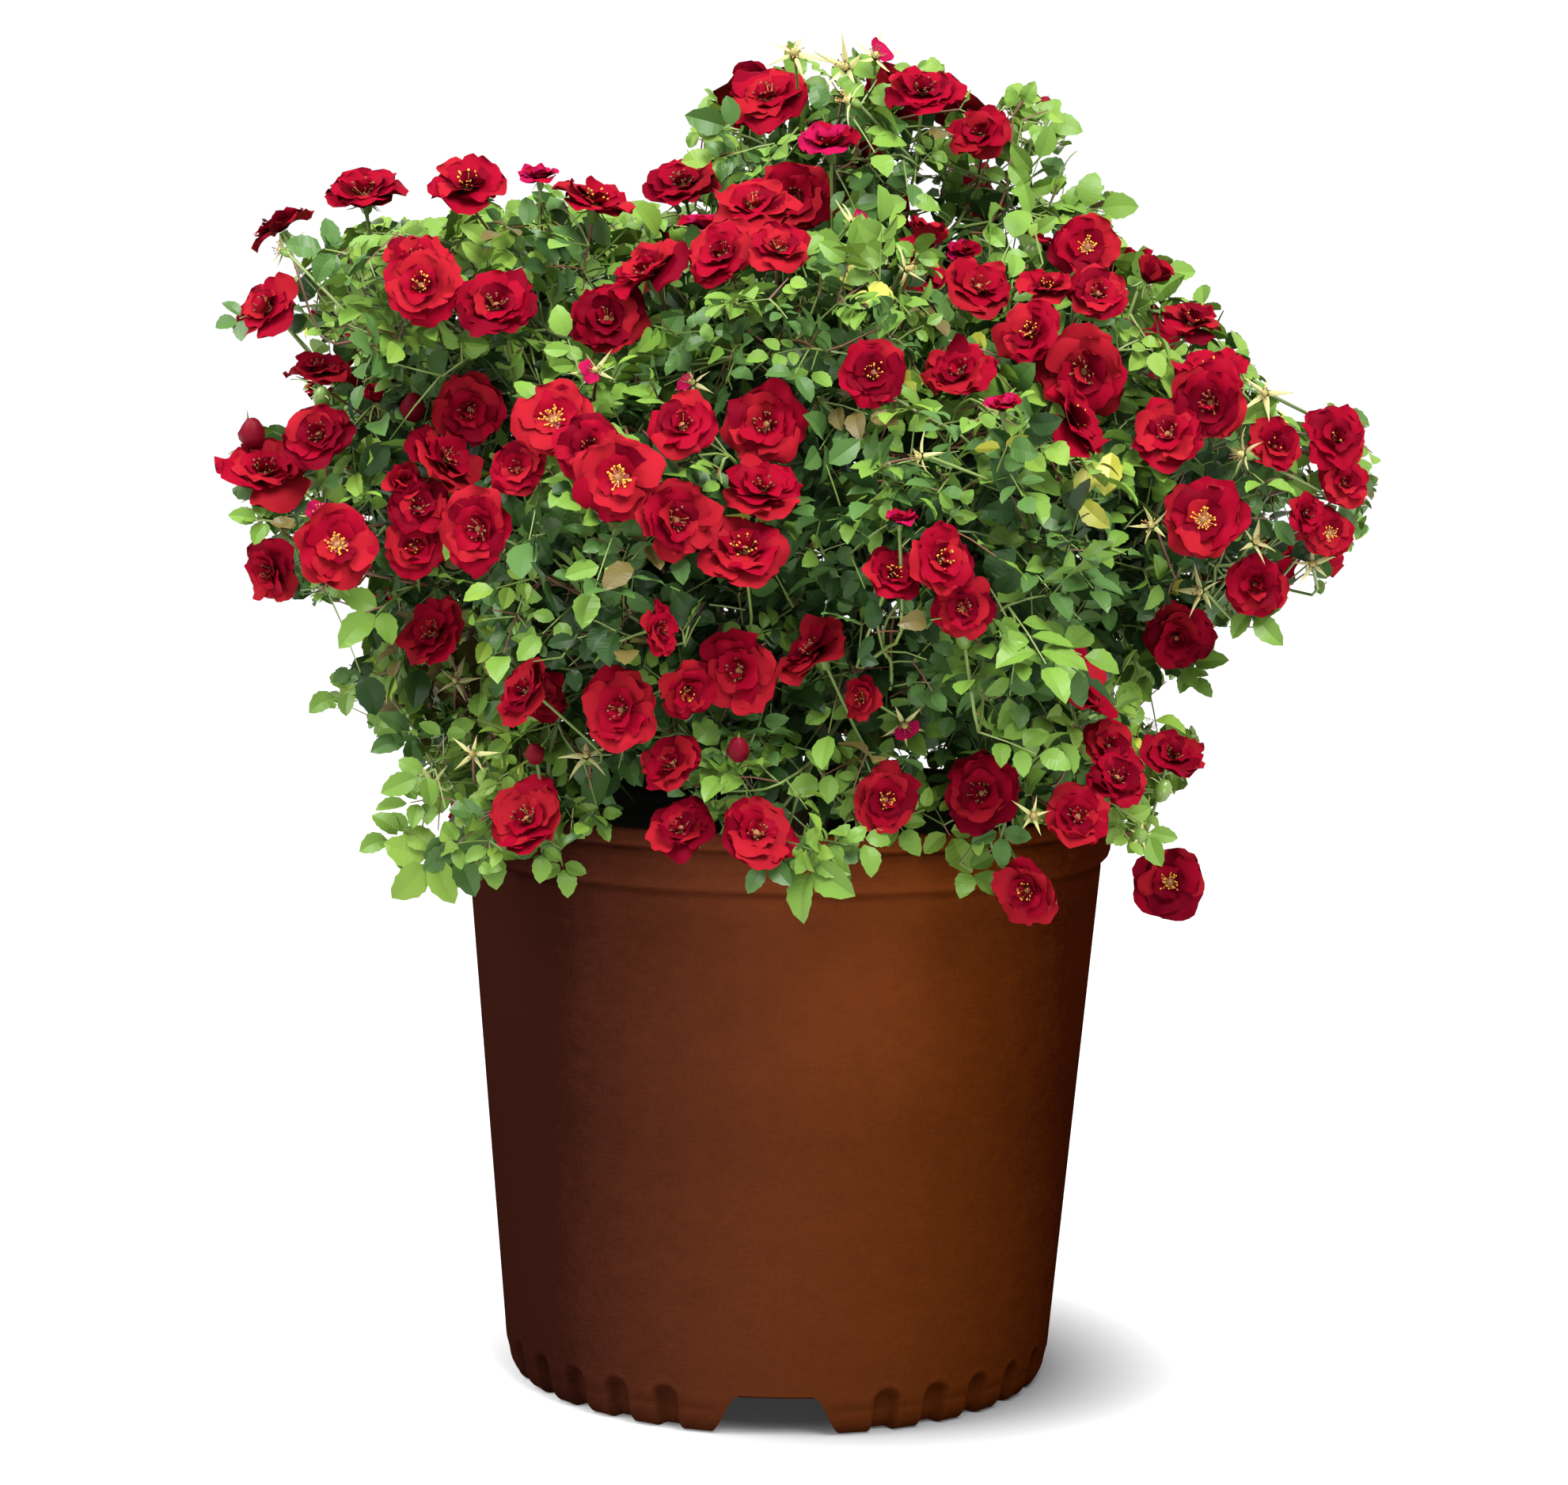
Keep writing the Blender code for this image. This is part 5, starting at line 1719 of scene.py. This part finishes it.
# How often a petal of each whorl is scarlet, red and crimson; the reds darken toward the heart, partly the
# petals' own tone and partly painted shade.
WHORL_REDS = ((0.52, 0.4, 0.08), (0.4, 0.46, 0.14), (0.22, 0.46, 0.32), (0.1, 0.4, 0.5))


def flower_axes(flower):
    """Two directions across a flower's face, and the way it looks."""
    first = unit(np.cross(flower.facing, (0.23, 0.31, 0.92)))
    return first, np.cross(flower.facing, first), flower.facing


def petal_rows(flower, draws):
    """One row of numbers for each petal of a flower."""
    rows = []
    start = draws.uniform(0, 2 * np.pi)
    mood = draws.choice((-1, 0, 1), p=(0.5, 0.32, 0.18))
    for number, (count, reach, half, rises, hollow) in enumerate(WHORLS[flower.kind]):
        start += math.pi / count + draws.normal(0, 0.12)
        for index in range(count):
            tone = int(draws.choice((SCARLET, RED, CRIMSON), p=WHORL_REDS[number]))
            if mood == 1 and tone < CRIMSON and draws.uniform() < 0.6:
                tone += 1
            if mood == -1 and tone == CRIMSON and draws.uniform() < 0.5:
                tone = RED
            if flower.kind == "pink":
                tone = MAGENTA if draws.uniform() < 0.6 else RED
            pale = flower.kind == "gold" and number > 0 or number >= 2 and draws.uniform() < 0.3
            rise = np.radians(np.array(rises) + draws.normal(0, (6, 9, 16)))
            rows.append((
                *flower.middle,
                start + index * 2 * math.pi / count + draws.normal(0, 0.17),
                flower.radius * reach * draws.uniform(0.84, 1.08),
                flower.radius * half * draws.uniform(0.84, 1.12),
                *rise,
                hollow * draws.uniform(0.3, 1.6),
                draws.uniform(0.05, 0.17),
                draws.uniform(0, 2 * np.pi),
                draws.uniform(0.03, 0.17) * (draws.uniform() < 0.65),
                draws.normal(0, 0.2),
                flower.radius * (0.1 - 0.022 * number),
                flower.radius * 0.025 * number,
                tone,
                BLUSH if pale else WINE_SHADE,
            ))
    return rows


def petal_sheet(rows, axes, across, along):
    """The points of many petals at once: (petal, step along, step across, xyz)."""
    rows = np.array(rows, float)
    middle, turn, reach, half = rows[:, 0:3], rows[:, 3], rows[:, 4], rows[:, 5]
    rises, hollow, ruffle, phase = rows[:, 6:9], rows[:, 9], rows[:, 10], rows[:, 11]
    notch, roll, out_start, up_start = rows[:, 12], rows[:, 13], rows[:, 14], rows[:, 15]
    u = np.linspace(-1, 1, across)
    v = np.linspace(0, 1, along) ** 0.92
    rise = np.stack([np.interp(v, (0, 0.55, 1), row) for row in rises])
    step = np.diff(v, prepend=0.0)
    level = np.cumsum(np.cos(rise) * step, axis=1) * reach[:, None] + out_start[:, None]
    height = np.cumsum(np.sin(rise) * step, axis=1) * reach[:, None] + up_start[:, None]
    spread = 0.26 + 0.74 * np.sin(np.pi / 2 * np.minimum(1, v / 0.7)) ** 1.1
    spread = spread - 0.24 * np.clip((v - 0.6) / 0.4, 0, 1) ** 2
    side = half[:, None, None] * spread[:, None] * u
    rounding = 0.36 * np.abs(u) ** 2.2 * v[:, None] ** 3
    dent = notch[:, None, None] * np.exp(-((u / 0.32) ** 2)) * v[:, None] ** 5
    back = reach[:, None, None] * (rounding + dent)
    lift = half[:, None, None] * (
        hollow[:, None, None] * (u**2) * spread[:, None]
        + roll[:, None, None] * u * v[:, None]
        + ruffle[:, None, None] * np.sin(4.4 * u + phase[:, None, None]) * v[:, None] ** 1.6
        + 0.5 * ruffle[:, None, None] * np.sin(9.0 * u + 2 * phase[:, None, None]) * v[:, None] ** 3
    )
    cos, sin = np.cos(rise)[..., None], np.sin(rise)[..., None]
    level = level[..., None] - back * cos - lift * sin
    height = height[..., None] - back * sin + lift * cos
    radial = np.cos(turn)[:, None] * axes[0] + np.sin(turn)[:, None] * axes[1]
    tangent = np.cross(axes[2], radial)
    return (
        middle[:, None, None]
        + level[..., None] * radial[:, None, None]
        + side[..., None] * tangent[:, None, None]
        + height[..., None] * axes[2][:, None, None]
    )


def add_petals(pile, flowers, draws, across, along):
    """The petals of many flowers, with so many points across and along each."""
    rows, axes = [], []
    for flower in flowers:
        mine = petal_rows(flower, draws)
        rows += mine
        axes += [flower_axes(flower)] * len(mine)
    if not rows:
        return
    axes = np.array(axes).transpose(1, 0, 2)
    sheets = petal_sheet(rows, axes, across, along)
    tones = np.array([row[-2:] for row in rows], int)
    faces = grid_faces(along, across)
    # Each petal's foot row takes the wine colour, painted shade at its foot, or the pale blush round the
    # heart; the rest takes the petal's red.
    foot_row = np.arange(len(faces)) < (across - 1)
    pile.add_many(sheets, [faces], np.where(foot_row[None], tones[:, 1:], tones[:, :1]))


def petal_finishes():
    chosen = settings("flowers")
    names = ("scarlet", "red", "crimson", "wine_shade", "magenta", "blush")
    return [plain(f"petal_{name}", getattr(chosen, name), 0.5, Specular_IOR_Level=0.012) for name in names]


def quarter_of(flower):
    """Which side of the bush a flower is on."""
    azimuth = math.degrees(math.atan2(flower.middle[0], -flower.middle[1]))
    return QUARTERS[int(((azimuth + 45) % 360) // 90)]


def add_rings(pile, flower, number, stations, finish, twist=0.0, lobes=0.0):
    """A skin round a flower's axis, from the height and half width of each ring, turned and lobed."""
    first, second, facing = flower_axes(flower)
    turns = turns_of(number)
    swell = (1 + lobes * np.cos(5 * turns))[:, None]
    rings = []
    for step, (rise, wide) in enumerate(stations):
        at = turns + twist * step
        level = np.outer(np.cos(at), first) + np.outer(np.sin(at), second)
        rings.append(flower.middle + facing * rise + level * swell * wide)
    pile.add(rings, grid_faces(len(rings), number, closed=True), finish)


def make_flowers():
    """Semi-double red flowers: petals, hearts with stamens, and green cups with sepals beneath."""
    bush = growth()
    draws = np.random.default_rng(SEED + 5)
    blooms = [flower for flower in bush.flowers if flower.kind in WHORLS]
    finishes = petal_finishes()
    for side in QUARTERS:
        pile = Pile()
        mine = [flower for flower in blooms if quarter_of(flower) == side]
        add_petals(pile, [flower for flower in mine if flower.near], draws, 7, 7)
        add_petals(pile, [flower for flower in mine if not flower.near], draws, 5, 6)
        place(f"petals_{side}", pile, finishes)
    hearts, cups = Pile(), Pile()
    for flower in blooms:
        add_heart(hearts, flower, draws)
        add_cup(cups, flower, draws, flower.radius * 0.62, (-70, -20))
    chosen = settings("flowers")
    place("stamens", hearts, [
        plain("anther_gold", chosen.gold, 0.6),
        plain("anther_amber", chosen.amber, 0.7),
        plain("filament", (0.62, 0.34, 0.1), 0.5),
        plain("pistil", (0.3, 0.14, 0.05), 0.6),
    ])
    place("flower_cups", cups, cup_finishes())


def cup_finishes():
    chosen = settings("flowers")
    return [
        plain("cup_green", chosen.sepal, 0.42),
        plain("sepal_green", scaled(chosen.sepal, 0.8), 0.5),
        plain("sepal_cream", chosen.cream, 0.6),
        plain("sepal_straw", scaled(chosen.cream, 0.72), 0.65),
    ]


def add_heart(pile, flower, draws):
    """Stamens in a ring round a small dome of pistils."""
    first, second, facing = flower_axes(flower)
    scale = flower.radius
    number = {"gold": 26, "open": 16 if flower.near else 11}.get(flower.kind, 10)
    golden = flower.kind == "gold" or draws.uniform() < 0.26
    turns = np.arange(number) * GOLDEN_TURN + draws.normal(0, 0.2, number)
    leans = np.radians(draws.uniform(14, 52, number))
    lengths = scale * draws.uniform(0.24, 0.38, number)
    level = np.cos(turns)[:, None] * first + np.sin(turns)[:, None] * second
    heads = unit(facing * np.cos(leans)[:, None] + level * np.sin(leans)[:, None])
    feet = flower.middle + facing * scale * 0.05 + level * scale * 0.05
    tips = feet + heads * lengths[:, None]
    across = unit(np.cross(heads, facing + 0.01))
    other = np.cross(heads, across)
    thin = scale * 0.01
    ring = [across * thin, (other * 0.87 - across * 0.5) * thin, (other * 0.87 + across * 0.5) * -thin]
    threads = np.stack([feet + corner for corner in ring] + [tips + corner for corner in ring], axis=1)
    pile.add_many(threads, [grid_faces(2, 3, closed=True)], THREAD)
    fat = scale * draws.uniform(0.028, 0.042, number)[:, None]
    corners = [across * fat, other * fat, -across * fat, -other * fat, heads * fat * 1.2, -heads * fat * 1.2]
    knobs = np.stack([tips + corner for corner in corners], axis=1)
    sides = [(0, 1, 4), (1, 2, 4), (2, 3, 4), (3, 0, 4), (1, 0, 5), (2, 1, 5), (3, 2, 5), (0, 3, 5)]
    pile.add_many(knobs, [np.array(sides)], YOUNG_HEAD if golden else OLD_HEAD)
    dome = scale * np.array(((0.02, 0.13), (0.12, 0.12), (0.18, 0.07), (0.2, 0.01)))
    add_rings(pile, flower, 8, dome, DOME)


def add_cup(pile, flower, draws, sepal, rises, finish=SEPAL):
    """The green cup under a flower, and five sepals rising from foot to tip at these angles."""
    first, second, facing = flower_axes(flower)
    scale = min(1.0, flower.radius / USUAL_HALF_WIDTH)
    add_rings(pile, flower, 7, scale * np.array(CUP_PROFILE), CUP)
    start = draws.uniform(0, 2 * np.pi)
    for number in range(5):
        turn = start + number * 2 * np.pi / 5 + draws.normal(0, 0.1)
        radial = math.cos(turn) * first + math.sin(turn) * second
        across = np.cross(facing, radial)
        reach = sepal * draws.uniform(0.58, 1.12)
        at = flower.middle + radial * 0.0022 * scale - facing * 0.001 * scale
        places = []
        curl = draws.normal(0, 26)
        slim = draws.uniform(0.75, 1.1)
        before = 0.0
        for share, wide in SEPAL_WIDTHS:
            rise = math.radians(np.interp(share, (0, 1), rises) + curl * share)
            ahead = (radial * math.cos(rise) + facing * math.sin(rise)) * reach
            at = at + ahead * (share - before)
            before = share
            edge = across * wide * slim * reach
            places += [at - edge, at + facing * 0.04 * reach, at + edge]
        pile.add(places, grid_faces(len(SEPAL_WIDTHS), 3), finish)
        pile.add([*places[-3:], at + ahead * 0.14], [(0, 1, 3), (1, 2, 3)], finish)


def make_spent_flowers():
    """Flowers that have dropped their petals: pale sepals in a star round a brown tuft."""
    bush = growth()
    draws = np.random.default_rng(SEED + 6)
    stars, tufts, left = Pile(), Pile(), Pile()
    for flower in bush.flowers:
        if flower.kind != "spent":
            continue
        finish = STRAW if draws.uniform() < 0.3 else CREAM
        rises = (draws.uniform(-5, 35), draws.uniform(-45, 40))
        add_cup(stars, flower, draws, flower.radius * 0.94, rises, finish)
        add_heart(tufts, flower, draws)
        if draws.uniform() < 0.22:
            small = Flower("pink", flower.middle, flower.facing, flower.radius * 0.6, True)
            rows = petal_rows(small, draws)[:2]
            sheets = petal_sheet(rows, np.array([flower_axes(flower)] * len(rows)).transpose(1, 0, 2), 5, 6)
            left.add_many(sheets, [grid_faces(6, 5)], MAGENTA)
    chosen = settings("flowers")
    place("spent_sepals", stars, cup_finishes())
    place("spent_hearts", tufts, [
        plain("tuft_straw", (0.42, 0.25, 0.07), 0.7),
        plain("tuft_brown", scaled(chosen.amber, 0.7), 0.75),
        plain("tuft_thread", (0.34, 0.18, 0.06), 0.7),
        plain("tuft_dome", (0.3, 0.26, 0.08), 0.7),
    ])
    place("last_petals", left, petal_finishes())


def make_buds():
    """Red buds in their sepals, and green hips."""
    bush = growth()
    draws = np.random.default_rng(SEED + 7)
    pile, cups = Pile(), Pile()
    for flower in bush.flowers:
        if flower.kind not in BUD_PROFILES:
            continue
        stations = np.array(BUD_PROFILES[flower.kind]) * (flower.radius, flower.radius * 0.8)
        if flower.kind == "bud":
            add_rings(pile, flower, 10, stations, BUD, 0.25, 0.07)
            add_cup(cups, flower, draws, flower.radius * 2.3, (78, 88))
        else:
            add_rings(pile, flower, 10, stations, HIP, 0.25)
            add_cup(cups, flower, draws, flower.radius * 1.6, (60, -20), STRAW)
    chosen = settings("flowers")
    place("buds_and_hips", pile, [
        plain("bud_red", chosen.crimson, 0.5, Specular_IOR_Level=0.08),
        plain("hip_green", chosen.sepal, 0.35),
    ])
    place("bud_sepals", cups, cup_finishes())


# ---- floor, light and camera ----

FLOOR_HALF = 12.0
# The painted shadow under the pot and the deeper painted shade inside its foot, as (middle across, low, high)
# radii, and what the floor shows there.
SHADES = ((0.03, 0.085, 0.178), (0.0, FOOT_RADIUS - 0.016, FOOT_RADIUS + 0.004))
SHADE_TINT = (0.12, 0.12, 0.125)
SHADE_GLOW = (0.035, 0.035, 0.035)
LIGHTS_LOOK_AT = (0.0, 0.0, 0.34)


def make_stage():
    """A white floor and surround, broad soft lights, and the camera at the eye."""
    chosen = settings("stage")
    scene = bpy.context.scene
    make_floor(chosen)
    world = bpy.data.worlds.new("white_surround")
    world.use_nodes = True
    scene.world = world
    background = world.node_tree.nodes["Background"]
    background.inputs["Color"].default_value = (1.0, 1.0, 1.0, 1.0)
    background.inputs["Strength"].default_value = chosen.sky
    soft_light("key_light", (0.6, -1.35, 1.9), (1.0, 1.0), chosen.key)
    soft_light("left_light", (-1.35, -0.75, 1.75), (0.9, 1.4), chosen.fill)
    place_camera(scene)
    scene.view_settings.view_transform = "Standard"
    scene.view_settings.look = "None"


def make_floor(chosen):
    """A wide pale floor that glows a little, with a shadow painted round the pot's foot."""
    mesh = bpy.data.meshes.new("floor")
    corners = [(FLOOR_HALF * x, FLOOR_HALF * y, 0) for x, y in ((-1, -1), (1, -1), (1, 1), (-1, 1))]
    mesh.from_pydata(corners, [], [(0, 1, 2, 3)])
    finish = Finish("pale_floor")
    x, y, _ = finish.axes()
    share = 1.0
    for middle, low, high in SHADES:
        across = x - middle
        share = share * finish.rise((across * across + y * y) ** 0.5, low, high)
    mesh.materials.append(finish.surface(
        Base_Color=finish.mix(share, SHADE_TINT, chosen.floor),
        Roughness=0.8,
        Specular_IOR_Level=0.0,
        Emission_Color=finish.mix(share, SHADE_GLOW, (chosen.floor_glow,) * 3),
        Emission_Strength=1.0,
    ))
    floor = bpy.data.objects.new("floor", mesh)
    bpy.context.scene.collection.objects.link(floor)


def soft_light(name, at, size, power):
    lamp = bpy.data.lights.new(name, "AREA")
    lamp.shape = "RECTANGLE"
    lamp.size, lamp.size_y = size
    lamp.energy = power
    light = bpy.data.objects.new(name, lamp)
    light.location = at
    light.rotation_euler = (Vector(LIGHTS_LOOK_AT) - Vector(at)).to_track_quat("-Z", "Y").to_euler()
    bpy.context.scene.collection.objects.link(light)


def place_camera(scene):
    """The camera at the eye, turned by its yaw, its pitch and its roll."""
    ahead = Vector((
        math.sin(EYE_YAW) * math.cos(EYE_PITCH), math.cos(EYE_YAW) * math.cos(EYE_PITCH), -math.sin(EYE_PITCH)
    ))
    right = ahead.cross(UP).normalized()
    above = right.cross(ahead)
    across = right * math.cos(EYE_ROLL) + above * math.sin(EYE_ROLL)
    upward = above * math.cos(EYE_ROLL) - right * math.sin(EYE_ROLL)
    lens = bpy.data.cameras.new("eye")
    lens.sensor_fit = "HORIZONTAL"
    lens.sensor_width = SENSOR
    lens.lens = LENS
    lens.clip_start, lens.clip_end = 0.05, 50
    camera = bpy.data.objects.new("eye", lens)
    camera.matrix_world = Matrix.Translation(EYE) @ Matrix((across, upward, -ahead)).transposed().to_4x4()
    scene.collection.objects.link(camera)
    scene.camera = camera


# ---- operators, panel and running ----


class ROSE_OT_pot(bpy.types.Operator):
    """Mould the pot around the frame's pot"""

    bl_idname = "rose_bush.pot"
    bl_label = "Pot"

    def execute(self, context):
        make_pot()
        return {"FINISHED"}


class ROSE_OT_soil(bpy.types.Operator):
    """Fill the pot with peat, bark chips and perlite"""

    bl_idname = "rose_bush.soil"
    bl_label = "Soil"

    def execute(self, context):
        make_soil()
        return {"FINISHED"}


class ROSE_OT_canes(bpy.types.Operator):
    """Raise the canes from the bush's woody foot"""

    bl_idname = "rose_bush.canes"
    bl_label = "Canes"

    def execute(self, context):
        make_canes()
        return {"FINISHED"}


class ROSE_OT_twigs(bpy.types.Operator):
    """Branch boughs and twigs on from the canes"""

    bl_idname = "rose_bush.twigs"
    bl_label = "Twigs"

    def execute(self, context):
        make_twigs()
        return {"FINISHED"}


class ROSE_OT_leaves(bpy.types.Operator):
    """Dress the twigs with compound leaves, one piece for each mass"""

    bl_idname = "rose_bush.leaves"
    bl_label = "Leaves"

    def execute(self, context):
        make_leaves()
        return {"FINISHED"}


class ROSE_OT_flowers(bpy.types.Operator):
    """Open the red flowers"""

    bl_idname = "rose_bush.flowers"
    bl_label = "Flowers"

    def execute(self, context):
        make_flowers()
        return {"FINISHED"}


class ROSE_OT_spent_flowers(bpy.types.Operator):
    """Add the stars of sepals that spent flowers leave"""

    bl_idname = "rose_bush.spent_flowers"
    bl_label = "Spent flowers"

    def execute(self, context):
        make_spent_flowers()
        return {"FINISHED"}


class ROSE_OT_buds(bpy.types.Operator):
    """Add buds and hips"""

    bl_idname = "rose_bush.buds"
    bl_label = "Buds and hips"

    def execute(self, context):
        make_buds()
        return {"FINISHED"}


class ROSE_OT_stage(bpy.types.Operator):
    """Lay the floor, hang the lights and set up the camera"""

    bl_idname = "rose_bush.stage"
    bl_label = "Stage"

    def execute(self, context):
        make_stage()
        return {"FINISHED"}


STEPS = (
    ROSE_OT_pot,
    ROSE_OT_soil,
    ROSE_OT_canes,
    ROSE_OT_twigs,
    ROSE_OT_leaves,
    ROSE_OT_flowers,
    ROSE_OT_spent_flowers,
    ROSE_OT_buds,
    ROSE_OT_stage,
)
GROUPS = {"pot": PotSettings, "foliage": FoliageSettings, "flowers": FlowerSettings, "stage": StageSettings}


class ROSE_PT_panel(bpy.types.Panel):
    """The steps of growing the bush, and what can be chosen for them"""

    bl_idname = "ROSE_PT_panel"
    bl_label = "Rose Bush"
    bl_space_type = "VIEW_3D"
    bl_region_type = "UI"
    bl_category = "Rose Bush"

    def draw(self, context):
        for step in STEPS:
            self.layout.operator(step.bl_idname)
        for group, kind in GROUPS.items():
            box = self.layout.box()
            box.label(text=group.capitalize())
            for name in kind.__annotations__:
                box.prop(settings(group), name)


def register():
    for made in (*GROUPS.values(), *STEPS, ROSE_PT_panel):
        bpy.utils.register_class(made)
    for group, kind in GROUPS.items():
        setattr(bpy.types.Scene, f"rose_{group}", bpy.props.PointerProperty(type=kind))


def unregister():
    for group in GROUPS:
        delattr(bpy.types.Scene, f"rose_{group}")
    for made in reversed((*GROUPS.values(), *STEPS, ROSE_PT_panel)):
        bpy.utils.unregister_class(made)


def main():
    register()
    for step in STEPS:
        category, name = step.bl_idname.split(".")
        getattr(getattr(bpy.ops, category), name)()


if __name__ == "__main__":
    main()
